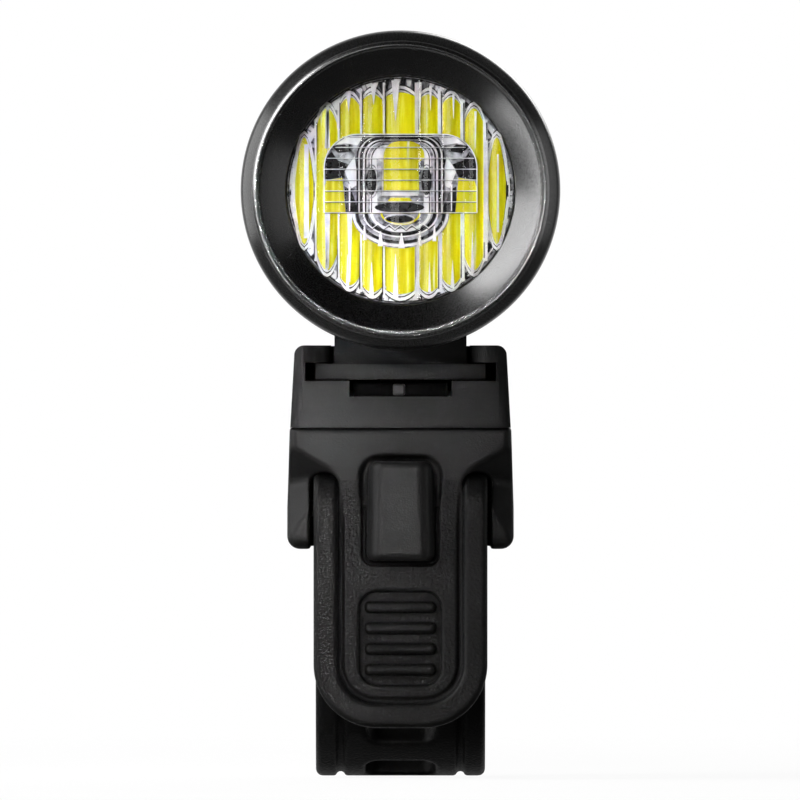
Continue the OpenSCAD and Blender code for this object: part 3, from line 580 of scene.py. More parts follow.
def make_band():
    step = 0.17
    low = np.array([-0.4, -STRAP_HALF - 0.4, -0.4])
    high = np.array([REAR_L + ARC_L + FRONT_L + 0.4, STRAP_HALF + 0.4, STRAP_T + 0.4])
    s, x, t = axes(low, high, step)
    length = REAR_L + ARC_L + FRONT_L
    band = box_field((s, x, t), (0, -STRAP_HALF, 0), (length, STRAP_HALF, STRAP_T), 0.7)
    groove = np.hypot(np.abs(x) - 6.05, t - STRAP_T) - 0.45
    band = cut(band, groove + 0 * s, 0.2)
    fork = box_field((s, x), (REAR_L + ARC_L + 7.0, -6.25), (length + 9, 6.25), 1.0)
    band = cut(band, fork + 0 * t, 0.2)
    for i in range(4):
        middle = REAR_L + BAR_R * math.radians(139 - 34.4 * i)
        hole = box_field((s, x), (middle - 2.25, -3.5), (middle + 2.25, 3.5), 1.4)
        band = cut(band, hole + 0 * t, 0.5)
    points, faces = surface(band, low, step)
    placed = band_place(points[:, 0], points[:, 1], points[:, 2])
    add_piece("strap_band", "mount", "strap_rubber", placed, faces, ["strap"])
    eye = rounded_profile([
        (PIN_R, -STRAP_HALF, 0.2), (EYE_R, -STRAP_HALF, 0.6),
        (EYE_R, STRAP_HALF, 0.6), (PIN_R, STRAP_HALF, 0.2)])
    points, faces = lathe(eye, (0, PIN_Y, PIN_Z), "x", 64)
    add_piece("strap_eye", "mount", "strap_rubber", points, faces)


def make_pad():
    """Rubber pad between saddle and bar, with ribs along the bar."""
    reach = math.radians(52)
    inner, outer, half = BAR_R + 0.02, BAR_R + 1.5, STRAP_HALF
    step = 0.17
    low = np.array([-reach * BAR_R - 0.4, -half - 0.4, -0.4])
    high = np.array([reach * BAR_R + 0.4, half + 0.4, outer - inner + 0.4])
    s, x, t = axes(low, high, step)
    pad = box_field((s, x, t), (low[0] + 0.4, -half, 0), (high[0] - 0.4, half, outer - inner), 0.35)
    for i in range(-4, 5):
        pad = cut(pad, np.hypot(s - i * 2.4, t) - 0.35 + 0 * x, 0.1)
    for a in (-1, 1):
        hole = np.hypot(np.abs(x) - SCREW_X, (BAR_R + 0.75) * np.sin(s / BAR_R) - a * SCREW_Y) - SHAFT_R
        pad = cut(pad, hole + 0 * t, 0.1)
    points, faces = surface(pad, low, step)
    turn = points[:, 0] / BAR_R
    r = inner + points[:, 2]
    placed = np.stack([points[:, 1], r * np.sin(turn), r * np.cos(turn)], axis=-1)
    faces = faces[:, ::-1]
    add_piece("saddle_pad", "mount", "soft_rubber", placed, faces, ["bar_pad"])


# Light: bezel and lens

LIP_DEPTH = 0.30


def make_bezel():
    """Turned front ring: outer rim, polished lip, fine step and inner cone."""
    f = FRONT_Y
    profile = rounded_profile([
        (14.40, f + 0.12, 0), (14.47, f + 0.01, 0), (14.52, f, 0), (14.6, f + 0.04, 0),
        (14.7, f + 0.11, 0), (14.8, f + 0.21, 0), (14.95, f + 0.40, 0),
        (15.9, f + 1.75, 0.5), (16.0, f + 2.9, 0.8),
        (16.0, f + 9.5, 0.8), (15.4, f + 11.5, 0.8), (13.5, f + 16.0, 0.1), (12.65, f + 16.0, 0.1),
        (12.65, f + 3.2, 0.1), (11.5, f + 3.2, 0.1), (11.5, f + 2.35, 0.12), (14.1, f + 0.62, 0.12),
        (14.40, f + 0.62, 0.05)])
    points, faces = lathe(profile, (0, 0, AXIS_Z), "y", 256)
    finish = lipped_material("anodised_ring", f + LIP_DEPTH)
    add_piece("bezel_ring", "light", "anodised_black", points, faces, ["bezel"], finish)


VALLEYS = [-10.77, -8.5, -6.2, -3.95, -1.66, 1.66, 3.95, 6.2, 8.5, 10.77]
FLUTES = len(VALLEYS) - 1
FLUTE_RISE = 0.45
CORE_Y = FLANGE_Y + 0.35
LEVEL_STEP = 0.06
PLATE_T = 0.12


def flute_height(x):
    """Height of the fluted face at a place across the lens."""
    edges = np.array([-14.0, *VALLEYS, 14.0])
    k = np.clip(np.searchsorted(edges, x) - 1, 0, len(edges) - 2)
    t = (x - edges[k]) / (edges[k + 1] - edges[k])
    return FLUTE_RISE * (1 - (2 * t - 1) ** 2)


def make_lens():
    """Clear fluted face, a closed plate."""
    rings, steps = 44, 320
    radius = np.linspace(0.02, LENS_R - 0.06, rings)
    angle = np.linspace(0, 2 * math.pi, steps, endpoint=False)
    x = np.outer(radius, np.cos(angle)).ravel()
    z = np.outer(radius, np.sin(angle)).ravel() + AXIS_Z
    front = np.stack([x, FLANGE_Y - 0.55 - flute_height(x), z], axis=-1)
    back = np.stack([x, np.full_like(x, FLANGE_Y - 0.3), z], axis=-1)
    total = rings * steps
    faces = []
    for quad in ring_faces(rings, steps):
        faces += [quad, tuple(total + q for q in reversed(quad))]
    last = (rings - 1) * steps
    for j in range(steps):
        m = (j + 1) % steps
        faces.append((last + j, last + m, total + last + m, total + last + j))
        faces.append((j, total + j, total + m, m))
    add_piece("lens_face", "light", "clear_lens", np.concatenate([front, back]), faces, ["lens"])


def grid_rim(columns, rows):
    """Indices round the edge of a grid of points, in order."""
    row = rows + 1
    rim = [i * row for i in range(columns)]
    rim += [columns * row + j for j in range(rows)]
    rim += [i * row + rows for i in range(columns, 0, -1)]
    rim += list(range(rows, 0, -1))
    return rim


class Mosaic:
    """Small raised shapes behind the lens that share one material."""

    def __init__(self, name, slot, material):
        self.name, self.slot, self.material = name, slot, material
        self.points, self.faces = [], []

    def add(self, points, faces):
        start = len(self.points)
        self.points.extend(points)
        self.faces.extend(tuple(start + i for i in face) for face in faces)

    def shape(self, outline, level):
        """Plate with an outline of (across, up) points, its face at a level of the stack."""
        y = CORE_Y - level * LEVEL_STEP
        count = len(outline)
        front = [(u, y, AXIS_Z + v) for u, v in outline]
        back = [(u, y + PLATE_T, AXIS_Z + v) for u, v in outline]
        sides = [(i, (i + 1) % count, count + (i + 1) % count, count + i) for i in range(count)]
        self.add(front + back, [tuple(range(count)), tuple(range(2 * count - 1, count - 1, -1)), *sides])

    def strip(self, u0, u1, top, low, drop, level, rise=0.25, columns=10, rows=14):
        """Upright plate with a crowned face, whose ends fall away by drop at its edges."""
        y = CORE_Y - level * LEVEL_STEP
        front, back, faces = [], [], []
        for i in range(columns + 1):
            c = 2 * i / columns - 1
            fall = drop * c * c
            u = u0 + (u1 - u0) * i / columns
            for j in range(rows + 1):
                z = AXIS_Z + low + fall + (top - low - 2 * fall) * j / rows
                front.append((u, y - rise * (1 - c * c), z))
                back.append((u, y + PLATE_T, z))
        row, total = rows + 1, len(front)
        for i in range(columns):
            for j in range(rows):
                a = i * row + j
                quad = (a, a + 1, a + row + 1, a + row)
                faces += [quad, tuple(total + q for q in reversed(quad))]
        rim = grid_rim(columns, rows)
        faces += [(p, q, total + q, total + p) for p, q in zip(rim, rim[1:] + rim[:1])]
        self.add(front + back, faces)

    def spike(self, u, v0, v1, w0, w1, level):
        """Slender tapered streak from v0 to v1."""
        self.shape([(u - w0, v0), (u + w0, v0), (u + w1, v1), (u - w1, v1)], level)

    def ribbon(self, path, width, level):
        """Line along a path of (across, up) points, with one width or a width for each point."""
        y = CORE_Y - level * LEVEL_STEP
        path = np.asarray(path, float)
        along = np.gradient(path, axis=0)
        along /= np.linalg.norm(along, axis=1)[:, None]
        aside = np.stack([-along[:, 1], along[:, 0]], axis=-1) * np.atleast_1d(width)[:, None] / 2
        points = []
        for (u, v), (a, b) in zip(path, aside):
            for way, back in ((1, 0), (-1, 0), (-1, PLATE_T), (1, PLATE_T)):
                points.append((u + way * a, y + back, AXIS_Z + v + way * b))
        last = 4 * len(path) - 4
        faces = [(0, 3, 2, 1), (last, last + 1, last + 2, last + 3)]
        for p in range(0, last, 4):
            faces += [(p + k, p + (k + 1) % 4, p + 4 + (k + 1) % 4, p + 4 + k) for k in range(4)]
        self.add(points, faces)

    def finish(self):
        add_piece(self.name, "light", self.slot, self.points, self.faces, (), self.material, False)


def oval(u, v, a, b, count=20):
    """Outline of an oval about (u, v) with half axes a and b."""
    turns = [2 * math.pi * i / count for i in range(count)]
    return [(u + a * math.cos(t), v + b * math.sin(t)) for t in turns]


def arch(half, low, top, r, count=6):
    """Outline with square lower corners and round upper ones."""
    right = [(half - r + r * math.cos(t), top - r + r * math.sin(t))
             for t in np.linspace(0, math.pi / 2, count)]
    left = [(-u, v) for u, v in reversed(right)]
    return [(half, low), *right, *left, (-half, low)]


def bowl(a, b, v, count=25):
    """Lower half of an oval, from left to right."""
    turns = np.linspace(math.pi, 2 * math.pi, count)
    return [(a * math.cos(t), v + b * math.sin(t)) for t in turns]


def ring_arc(r, start, end, count=40):
    """Part of a circle about the lens's middle, between two angles in degrees."""
    turns = np.radians(np.linspace(start, end, count))
    return [(r * math.cos(t), r * math.sin(t)) for t in turns]


# top, bottom and fall at the edges of the emitter's image in each flute, from the side to the middle
BAND_ENDS = [(5.3, -5.4, 4.4), (8.2, -8.0, 1.9), (9.3, -9.5, 1.0), (9.6, -10.2, 0.7), (9.8, -10.4, 0.5)]
# across, start, end and half width of the painted highlight streaks in the flutes
STREAKS = [
    (-0.5, 11.0, 7.0, 0.42), (1.9, 10.8, 6.6, 0.24), (-2.7, 10.6, 8.6, 0.30), (3.0, 10.4, 8.0, 0.15),
    (-5.2, 9.9, 7.9, 0.26), (5.3, 9.6, 7.2, 0.12), (-2.9, -10.6, -7.2, 0.24), (-0.5, -10.8, -6.4, 0.28),
    (1.7, -10.6, -6.6, 0.28), (2.9, -10.2, -7.2, 0.15), (-5.3, -9.9, -6.4, 0.18), (5.2, -9.8, -7.0, 0.2),
    (-7.3, 8.6, 3.6, 0.16), (7.2, -8.3, -4.2, 0.18), (-7.4, -8.2, -3.6, 0.14), (7.5, 7.9, 4.2, 0.12),
]
# across, start, end and both half widths of the painted highlight lines that run the length of a flute
LONG_HIGHLIGHTS = [
    (-9.42, 4.6, -4.8, 0.22, 0.26), (9.75, 3.6, -4.2, 0.08, 0.12), (-7.32, 7.9, 4.2, 0.16, 0.26),
    (-7.32, -2.2, -7.8, 0.26, 0.16), (-5.08, -2.2, -9.2, 0.26, 0.05), (8.55, 5.0, -5.2, 0.22, 0.25),
]
STREAK_LEVEL, BLOCK_LEVEL = 6, 7
BLOCK_LOW, BOWL_V = -2.25, -2.3
# across, lower end and half width of the painted highlight spikes under the bowl
BOWL_SPIKES = [(-3.6, -5.0, 0.22), (-2.0, -5.6, 0.28), (0.1, -5.8, 0.34), (1.9, -5.6, 0.26),
               (3.4, -5.1, 0.2)]


def band_of(i):
    """Ends of the emitter's image in a flute, which are the same on both sides of the middle."""
    return BAND_ENDS[min(i, FLUTES - 1 - i)]


def band_end(i, end, offset):
    """Path along the end of a band, moved outwards by offset."""
    fall = band_of(i)[2]
    v = band_of(i)[end]
    out = 1 if v > 0 else -1
    spots = np.linspace(-1, 1, 9)
    middle = (VALLEYS[i] + VALLEYS[i + 1]) / 2
    half = (VALLEYS[i + 1] - VALLEYS[i]) / 2
    return [(middle + half * c, v + out * (offset - (fall + 0.5) * c * c)) for c in spots]


def swelling(ends, middle, count=20):
    """Widths that grow to the middle of a path and shrink again."""
    return np.concatenate([np.linspace(ends, middle, count), np.linspace(middle, ends, count)])


def core_splinters(white, black, count=120):
    """Splinters of painted highlight and painted shade round the rim, with more of the shade at the upper
    right.
    """
    chance = random.Random(7)
    for i in range(count):
        mid = 2 * math.pi * (i + 0.5) / count
        half = math.pi / count * chance.uniform(0.6, 1.4)
        inner = chance.uniform(9.2, 10.4)
        outer = LENS_R - chance.uniform(0.08, 0.4)
        dim = 0.55 if math.cos(mid - 0.6) > 0.4 else 0.32
        target = black if chance.random() < dim else white
        tip = (inner * math.cos(mid), inner * math.sin(mid))
        edge = [(outer * math.cos(mid + s * half), outer * math.sin(mid + s * half)) for s in (-1, 1)]
        target.shape([tip, *edge], chance.uniform(-4, -2))


def core_rim(white, grey, black):
    """Painted silver reflection in the rim with splinters, a broad painted highlight on the left and
    painted shade on the right, and lines of painted highlight and shade along the ends of the flutes.
    """
    grey.shape(oval(0, 0, LENS_R - 0.05, LENS_R - 0.05, 96), -6)
    core_splinters(white, black)
    white.ribbon(ring_arc(10.45, 122, 238), swelling(0.1, 1.0), -1)
    white.ribbon(ring_arc(10.9, -52, 48), 0.14, -1)
    black.ribbon(ring_arc(10.6, -58, 55), swelling(0.05, 0.4), -1)
    black.ribbon(ring_arc(11.2, 60, 300, 90), 0.12, -1)
    for i in range(FLUTES):
        for end in (0, 1):
            black.ribbon(band_end(i, end, 0.75), 0.16, 0.2)
            white.ribbon(band_end(i, end, 0.52), 0.30, 0.4)
            black.ribbon(band_end(i, end, 0.28), 0.10, 0.6)
            white.ribbon(band_end(i, end, 0.14), 0.14, 0.8)


def core_flutes(yellow, white, black):
    """The emitter's image in the flutes, with painted highlight and shade lines between them and painted
    highlight streaks in them.
    """
    for i in range(FLUTES):
        top, low, fall = band_of(i)
        margin = 0.22 if i in (0, FLUTES - 1) else 0.05
        yellow.strip(VALLEYS[i] + margin, VALLEYS[i + 1] - margin, top, low, fall, 0)
    for u in VALLEYS[1:-1]:
        reach = math.sqrt(LENS_R ** 2 - u * u) - 0.5
        near, far = (0.06, 0.12) if u < 0 else (0.18, 0.23)
        for way in (-1, 1):
            white.spike(u, 0.0, way * reach, near, far, 2.5)
            black.spike(u + 0.13 * way, way * reach * 0.5, way * (reach - 0.3), 0.02, 0.06, 3)
    for u, v0, v1, width in STREAKS:
        white.spike(u, v0, v1, width, 0.02, STREAK_LEVEL)
    for u, v0, v1, near, far in LONG_HIGHLIGHTS:
        white.spike(u, v0, v1, near, far, STREAK_LEVEL)


def handed(outline, side):
    """Outline of the block's right half, put on one side of it."""
    return [(side * u, v) for u, v in outline]


def block_sides(yellow, white, black):
    """Yellow windows with painted highlight and painted shade facets in both ends of the block."""
    level = BLOCK_LEVEL + 1
    for side in (-1, 1):
        yellow.shape(handed([(7.6, -2.2), (7.65, 0.2), (7.4, 1.0), (5.8, 1.25), (5.5, -2.2)], side), level)
        black.shape(handed([(7.6, 1.0), (7.6, 3.2), (6.9, 3.9), (6.3, 3.0), (5.2, 2.6), (5.8, 1.3)], side),
                    level)
        black.shape(handed([(6.9, 4.4), (5.6, 4.6), (4.8, 3.9), (6.2, 3.7)], side), level)
        white.shape(handed([(6.6, 4.5), (5.5, 5.3), (3.7, 5.45), (4.3, 4.5), (5.6, 4.7)], side), level)
        white.shape(handed([(5.6, 1.9), (4.6, 3.4), (4.2, 0.6), (4.9, 0.2)], side), level)
        black.shape(handed([(5.5, -2.2), (5.6, 0.4), (4.9, 0.0), (4.2, -2.2)], side), level)
        white.spike(side * 5.1, 0.6, -2.1, 0.10, 0.05, BLOCK_LEVEL + 2)


def block_middle(yellow, white, grey, black):
    """Arches of painted highlight, shade and silver reflection round the emitter's middle image, with
    spots of painted shade beside and under it.
    """
    level = BLOCK_LEVEL
    white.shape(arch(4.36, BLOCK_LOW, 5.5, 2.1), level + 2)
    for half, top, r, width, mosaic in (
            (4.32, 5.46, 2.1, 0.18, black), (3.92, 5.20, 1.9, 0.30, black), (3.48, 4.92, 1.7, 0.16, black),
            (3.18, 4.74, 1.6, 0.26, grey), (2.90, 4.60, 1.5, 0.10, black)):
        mosaic.ribbon(arch(half, BLOCK_LOW, top, r, 9), width, level + 3)
    yellow.shape([(u + 0.35, v) for u, v in arch(2.05, 0.0, 4.9, 1.5)], level + 3.5)
    for side in (-1, 1):
        spot = side * 2.75 - 0.15
        black.shape(oval(spot, 0.9, 0.52, 1.4), level + 4)
        grey.ribbon(oval(spot, 0.9, 0.7, 1.65), 0.12, level + 4)
        grey.shape(handed([(2.3, -2.0), (2.4, 3.2), (1.8, 2.8), (1.9, -1.6)], side), level + 3.8)
    grey.shape([(-2.3, -1.3), (2.2, -1.3), (1.7, -0.1), (-1.8, -0.1)], level + 4)
    white.shape([(-1.9, -0.55), (1.8, -0.55), (1.7, -0.1), (-1.8, -0.1)], level + 4.4)
    yellow.shape([(-1.3, -1.1), (1.2, -1.1), (0.9, -0.75), (-1.0, -0.75)], level + 4.4)
    black.shape(oval(-0.1, -1.72, 2.5, 0.52), level + 5)


def block_ribs(white, black, outline):
    """Fine ribs across the block, each a painted highlight line above a painted shade line, and a painted
    highlight along its edge.
    """
    level = BLOCK_LEVEL + 7
    for i in range(8):
        v = BLOCK_LOW + i * 1.09
        half = 7.6 - 2.7 * max(0.0, (v - 2.2) / 3.3) ** 2
        white.ribbon([(-half, v), (0, v), (half, v)], 0.055, level)
        black.ribbon([(-half, v - 0.07), (0, v - 0.07), (half, v - 0.07)], 0.05, level)
    white.ribbon(outline, 0.10, level)


def core_block(yellow, white, grey, black):
    """Ribbed block in the middle, on a ground of painted silver reflection, with what shows in it."""
    outline = arch(7.65, BLOCK_LOW, 5.6, 3.4, 12)
    grey.shape(outline, BLOCK_LEVEL)
    block_sides(yellow, white, black)
    block_middle(yellow, white, grey, black)
    block_ribs(white, black, outline)


def core_bowl(yellow, white, grey, black):
    """Rings of painted highlight, shade and silver reflection under the block."""
    level = BLOCK_LEVEL
    grey.shape(bowl(4.9, 3.5, BOWL_V), level - 1.5)
    for a, b, width, mosaic in (
            (4.7, 3.25, 0.25, white), (4.35, 2.9, 0.30, black), (4.0, 2.6, 0.35, grey),
            (3.7, 2.35, 0.14, white), (3.4, 2.1, 0.34, black), (2.9, 1.75, 0.30, white),
            (2.3, 1.35, 0.22, grey), (1.9, 1.1, 0.2, yellow)):
        mosaic.ribbon(bowl(a, b, BOWL_V), width, level - 1)
    spots = np.linspace(-3.4, 3.4, 13)
    zigzag = [(u, -3.55 - 0.05 * (3.4 - abs(u)) + 0.22 * (-1) ** k) for k, u in enumerate(spots)]
    white.ribbon(zigzag, 0.10, level)
    black.ribbon([(u, w - 0.14) for u, w in zigzag], 0.10, level)
    black.shape(oval(-0.1, -2.9, 1.35, 0.34), level)
    white.ribbon(oval(-0.1, -2.9, 1.5, 0.5), 0.08, level)
    for u, low, width in BOWL_SPIKES:
        white.spike(u, low, low + 1.5, width, 0.05, level - 0.5)


def streaked(name):
    """Yellow coat drawn out into soft upright streaks, with painted pale highlights in the lightest
    streaks.
    """
    material, tree, shader = new_material(name, (0.80, 0.74, 0.004), 0.3, specular=0.15)
    streaks = noise(tree, 0.55, 2.0, (1.0, 1.0, 0.07))
    tint = ramp(tree, streaks, [(0.30, (0.66, 0.58, 0.001)), (0.56, (0.80, 0.74, 0.002)),
                                (0.65, (0.84, 0.81, 0.05)), (0.74, (0.88, 0.88, 0.62))])
    tree.links.new(tint, shader.inputs["Base Color"])
    gloss = map_range(tree, streaks, NOISE_LOW, NOISE_HIGH, 0.22, 0.4)
    tree.links.new(gloss, shader.inputs["Roughness"])
    emboss(tree, shader, streaks, 0.02)
    return material


def make_lens_core():
    """A painted picture of what shows through the lens: the emitter's image in bands, with painted
    highlights in white, painted silver reflection in grey and painted shade in black.
    """
    pale = textured("painted_highlight", (0.90, 0.90, 0.95), 0.2, 0.3, 0.004, broad_mm=1.2, spread=0.12, coat=0.5)
    silver = textured("painted_silver_reflection", (0.30, 0.30, 0.33), 0.18, 0.3, 0.004, broad_mm=0.6, spread=0.95,
                      coat=0.3)
    dark = textured("painted_shade", (0.004, 0.004, 0.005), 0.3, 0.3, 0.004, broad_mm=0.9, spread=0.6,
                    specular=0.2)
    yellow = Mosaic("core_bands", "led_yellow", streaked("phosphor_image"))
    white = Mosaic("core_painted_highlights", "clear_lens", pale)
    grey = Mosaic("core_painted_reflections", "bare_aluminium", silver)
    black = Mosaic("core_shade", "inner_plastic", dark)
    core_rim(white, grey, black)
    core_flutes(yellow, white, black)
    core_block(yellow, white, grey, black)
    core_bowl(yellow, white, grey, black)
    for mosaic in (yellow, white, grey, black):
        mosaic.finish()


# Lever, spring and controls

RIB_LOW, RIB_HIGH = (-0.75, -17.12, 22.98), (0.45, -16.7, 24.12)


def make_lever_rib():
    """Rib on the lever's front, which shows in the notch under the foot."""
    step = 0.08
    low = np.array(RIB_LOW) - 3 * step
    x, y, z = axes(low, np.array(RIB_HIGH) + 3 * step, step)
    points, faces = surface(box_field((x, y, z), RIB_LOW, RIB_HIGH, 0.15), low, step)
    # a lighter and glossier plastic than the mount's body, so that the rib shows in the dark notch
    rib_finish = textured("lighter_plastic", (0.016, 0.016, 0.016), 0.4, 0.2, 0.02, specular=0.3)
    add_piece("lever_rib", "latch", "body_plastic", points, faces, material=rib_finish)


SPRING_TURNS = 3.25
WIRE_R = 0.16


def make_spring():
    """Coil under the lever, between the mount and the latch."""
    low, high = millimetres("latch_spring")
    middle_y = (low[1] + high[1]) / 2
    coil_r = (high[0] - low[0]) / 2 - WIRE_R
    rings, sides = 120, 10
    share = np.linspace(0, 1, rings)[:, None]
    turn = 2 * math.pi * SPRING_TURNS * share
    round_wire = np.linspace(0, 2 * math.pi, sides, endpoint=False)[None, :]
    reach = coil_r + WIRE_R * np.cos(round_wire)
    rise = low[2] + WIRE_R + (high[2] - low[2] - 2 * WIRE_R) * share
    points = np.stack([reach * np.cos(turn), middle_y + reach * np.sin(turn),
                       rise + WIRE_R * np.sin(round_wire)], axis=-1).reshape(-1, 3)
    caps = [tuple(range(sides)), tuple(range((rings - 1) * sides, rings * sides))]
    faces = caps + ring_faces(rings, sides)
    piece = add_piece("return_spring", None, "screw_steel", points, faces, ["latch_spring"])
    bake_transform(piece)


def make_button():
    """Rubber button with a flange and a ring in its dished top."""
    low, high = millimetres("power_button")
    r = (high[0] - low[0]) / 2 - 0.8
    top = high[2]
    y = (low[1] + high[1]) / 2
    profile = rounded_profile([
        (0.02, low[2] + 0.6, 0), (r + 0.8, low[2] + 0.6, 0.1), (r + 0.8, low[2] + 1.0, 0.1),
        (r, low[2] + 1.0, 0.1), (r, top, 0.4), (r - 1.0, top - 0.05, 0.3), (2.6, top - 0.3, 0.5),
        (2.2, top - 0.12, 0.2), (1.7, top - 0.12, 0.2), (1.3, top - 0.38, 0.2), (0.02, top - 0.4, 0)])
    points, faces = lathe(profile, (0, y, 0), "z", 96)
    add_piece("button_cap", "button", "soft_rubber", points, faces, ["power_button"])


def make_cover():
    """Rubber flap over the port, with its plug and a thumb notch."""
    low, high = millimetres("port_cover")
    step = 0.14
    x, y, z = axes(low - 0.4, high + 0.4, step)
    half = high[0]
    flap = box_field((x, y, z), (low[0], high[1] - 1.6, low[2]), (half, high[1], high[2]), 0.55)
    plug = box_field((x, y, z), (low[0] + 2.4, low[1], 48.0), (half - 2.4, high[1] - 0.8, 49.4), 0.3)
    thumb = np.hypot(x / 3.2, (z - high[2] + 1.0) / 0.9) - 1
    cover = cut(join(flap, plug, 0.3), np.maximum(thumb, high[1] - 0.5 - y) + 0 * x, 0.4)
    points, faces = surface(cover, low - 0.4, step)
    add_piece("port_flap", "cover", "soft_rubber", points, faces, ["port_cover"])


# CAD nodes that stay: eased edges and a finish each

WELD_MM = 0.002
FLAT_ANGLE, EDGE_ANGLE, EDGE_SEGMENTS = 1.0, 32, 3
EASED = {"housing": 0.12, "foot": 0.15, "rail_base": 0.3, "latch_lever": 0.2,
         "button_ring": 0.15, "indicator_window": 0.1, "cap_screws": 0.08}


def ease(obj, width_mm):
    """Rounds a CAD node's edges with modifiers, which leave its mesh as it is."""
    weld = obj.modifiers.new("weld", "WELD")
    weld.merge_threshold = WELD_MM * MM
    flat = obj.modifiers.new("flat", "DECIMATE")
    flat.decimate_type = "DISSOLVE"
    flat.angle_limit = math.radians(FLAT_ANGLE)
    bevel = obj.modifiers.new("bevel", "BEVEL")
    bevel.width = width_mm * MM
    bevel.segments = EDGE_SEGMENTS
    bevel.limit_method = "ANGLE"
    bevel.angle_limit = math.radians(EDGE_ANGLE)
    bevel.use_clamp_overlap = True
    bevel.harden_normals = True
    obj.modifiers.new("normals", "WEIGHTED_NORMAL")


# finishes of single nodes, instead of their slot's
NODE_FINISH = {
    "housing": anodised("anodised_barrel", 0.33, 0.36),
    "cap_screws": textured("dark_steel", (0.10, 0.10, 0.105), 0.34, 0.06, 0.004, metallic=1.0),
    # the latch lever gets a near-black finish almost without specular: painted shade for it where it sits
    # in the notch under the foot
    "latch_lever": textured("shaded_plastic", (0.001, 0.001, 0.001), 0.6, 0.13, 0.012, specular=0.02),
}


def finish_nodes():
    """Gives each CAD node its slot's material, and eases those that show."""
    slots = {part["node"]: part["material_slot"] for part in frame["record"]["subparts"]}
    for name, obj in NODES.items():
        obj.data.materials.clear()
        obj.data.materials.append(NODE_FINISH.get(name) or MATERIALS[slots[name]])
        if name in EASED:
            ease(obj, EASED[name])


# Stage: floor, lights, world and camera

FLOOR_Z = -15.7
FLOOR_R, FADE_START, FADE_END = 0.45, 0.12, 0.40
FLOOR_ALPHA = 0.08
VIEW_X, VIEW_Z = -0.05, 22.50
VIEW_PLANE_Y = -20.0
FRAME_W = 80.48
LENS_MM, SENSOR_MM = 1500.0, 36.0
CLIP_NEAR, CLIP_FAR = 0.1, 20.0
DIFFUSE_LEVEL, GLOSSY_LEVEL = 0.55, 0.6
# share of the room's white from the front of the room to its back
ROOM_GRADES = [(0.0, (0.02,) * 3), (0.55, (0.03,) * 3), (0.8, (0.2,) * 3), (0.95, (1.0,) * 3)]
MIDDLE = (0, -0.02, 0.03)
LENS_MIDDLE = (0, -0.036, 0.0415)
RAIL_SIDE = (-0.027, -0.02, 0.006)
# name, place, aim, width, height, watts and spread of each lamp
LAMPS = [
    ("key_left", (-0.62, -0.18, 0.38), MIDDLE, 0.36, 0.70, 6.0, 180.0),
    ("strip_left", (-0.56, -0.36, 0.10), MIDDLE, 0.06, 1.20, 3.4, 180.0),
    ("back_left", (-0.66, 0.28, 0.12), MIDDLE, 0.30, 0.60, 1.4, 180.0),
    ("fill_right", (0.74, -0.06, 0.08), MIDDLE, 0.70, 0.60, 1.1, 180.0),
    ("back_soft", (0.30, 0.80, 0.45), MIDDLE, 0.5, 0.5, 3.0, 180.0),
    ("front_soft", (-0.30, -0.85, 0.22), MIDDLE, 0.5, 0.6, 3.0, 180.0),
    ("lens_spot", (-0.36, -0.86, 0.10), LENS_MIDDLE, 0.04, 0.04, 0.0034, 3.4),
    ("side_wash", (-0.06, -0.57, 0.08), RAIL_SIDE, 0.03, 0.03, 0.0135, 7.8),
]


def make_floor():
    """Faint floor that fades out and keeps the object's shadow."""
    bpy.ops.mesh.primitive_circle_add(vertices=96, radius=FLOOR_R, fill_type="NGON",
                                      location=(0, 0.01, FLOOR_Z * MM))
    floor = bpy.context.object
    floor.name = "floor"
    material, tree, shader = new_material("pale_floor", (0.9, 0.9, 0.9), 0.9, specular=0.1)
    nodes, links = tree.nodes, tree.links
    coords = nodes.new("ShaderNodeTexCoord")
    far = nodes.new("ShaderNodeVectorMath")
    far.operation = "LENGTH"
    links.new(coords.outputs["Object"], far.inputs[0])
    fade = map_range(tree, far.outputs["Value"], FADE_START, FADE_END, FLOOR_ALPHA, 0.0)
    links.new(fade, shader.inputs["Alpha"])
    emboss(tree, shader, noise(tree, 2.0), 0.01)
    floor.data.materials.append(material)


def add_lamp(name, place, aim, width, height, watts, spread):
    """Soft lamp that the camera doesn't see."""
    data = bpy.data.lights.new(name, "AREA")
    data.shape = "RECTANGLE"
    data.size, data.size_y = width, height
    data.energy = watts
    data.spread = math.radians(spread)
    lamp = bpy.data.objects.new(name, data)
    bpy.context.scene.collection.objects.link(lamp)
    lamp.location = place
    offset = [a - p for a, p in zip(aim, place)]
    lamp.rotation_euler = mathutils.Vector(offset).to_track_quat("-Z", "Y").to_euler()
    lamp.visible_camera = False


def make_lamps():
    for lamp in LAMPS:
        add_lamp(*lamp)


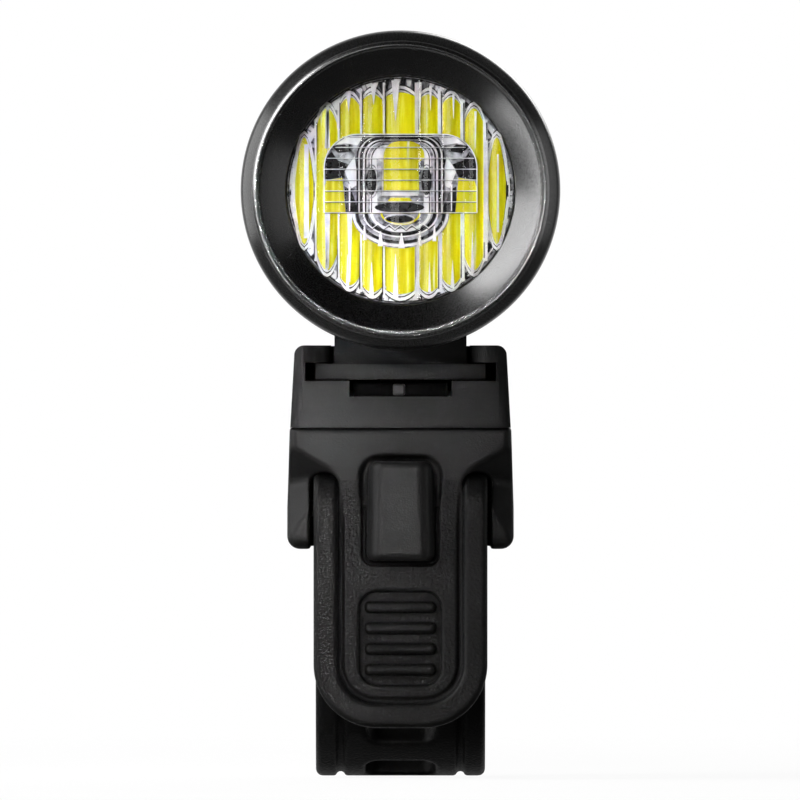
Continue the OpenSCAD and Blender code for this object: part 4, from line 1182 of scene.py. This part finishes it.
def room_light(tree, path):
    """Graded room for metal and glass, and a plain part of it for the rest."""
    nodes, links = tree.nodes, tree.links
    room = nodes.new("ShaderNodeBackground")
    depth = map_range(tree, along_y(tree, "Generated"), -1.0)
    links.new(ramp(tree, depth, ROOM_GRADES), room.inputs["Color"])
    seen = nodes.new("ShaderNodeMath")
    seen.operation = "MAXIMUM"
    links.new(path.outputs["Is Glossy Ray"], seen.inputs[0])
    links.new(path.outputs["Is Transmission Ray"], seen.inputs[1])
    level = map_range(tree, seen.outputs["Value"], low=DIFFUSE_LEVEL, high=GLOSSY_LEVEL)
    links.new(level, room.inputs["Strength"])
    return room


def make_world():
    """White for the camera, and a room that lights the object."""
    world = bpy.data.worlds.new("studio")
    bpy.context.scene.world = world
    world.use_nodes = True
    tree = world.node_tree
    nodes, links = tree.nodes, tree.links
    nodes.clear()
    path = nodes.new("ShaderNodeLightPath")
    backdrop = nodes.new("ShaderNodeBackground")
    backdrop.inputs["Color"].default_value = (1, 1, 1, 1)
    backdrop.inputs["Strength"].default_value = 1.0
    room = room_light(tree, path)
    mix = nodes.new("ShaderNodeMixShader")
    links.new(path.outputs["Is Camera Ray"], mix.inputs["Fac"])
    links.new(room.outputs["Background"], mix.inputs[1])
    links.new(backdrop.outputs["Background"], mix.inputs[2])
    output = nodes.new("ShaderNodeOutputWorld")
    links.new(mix.outputs["Shader"], output.inputs["Surface"])


def make_camera():
    """Long lens straight at the front, so that the picture has almost no perspective."""
    data = bpy.data.cameras.new("camera")
    data.lens, data.sensor_width = LENS_MM, SENSOR_MM
    data.clip_start, data.clip_end = CLIP_NEAR, CLIP_FAR
    camera = bpy.data.objects.new("camera", data)
    bpy.context.scene.collection.objects.link(camera)
    away = LENS_MM / SENSOR_MM * FRAME_W
    camera.location = (VIEW_X * MM, (VIEW_PLANE_Y - away) * MM, VIEW_Z * MM)
    camera.rotation_euler = (math.pi / 2, 0, 0)
    bpy.context.scene.camera = camera
    bpy.context.scene.view_settings.view_transform = "Standard"


finish_nodes()
make_saddle()
make_band()
make_tab()
make_pad()
make_bezel()
make_lens()
make_lens_core()
make_lever_rib()
make_spring()
make_button()
make_cover()
make_floor()
make_lamps()
make_world()
make_camera()
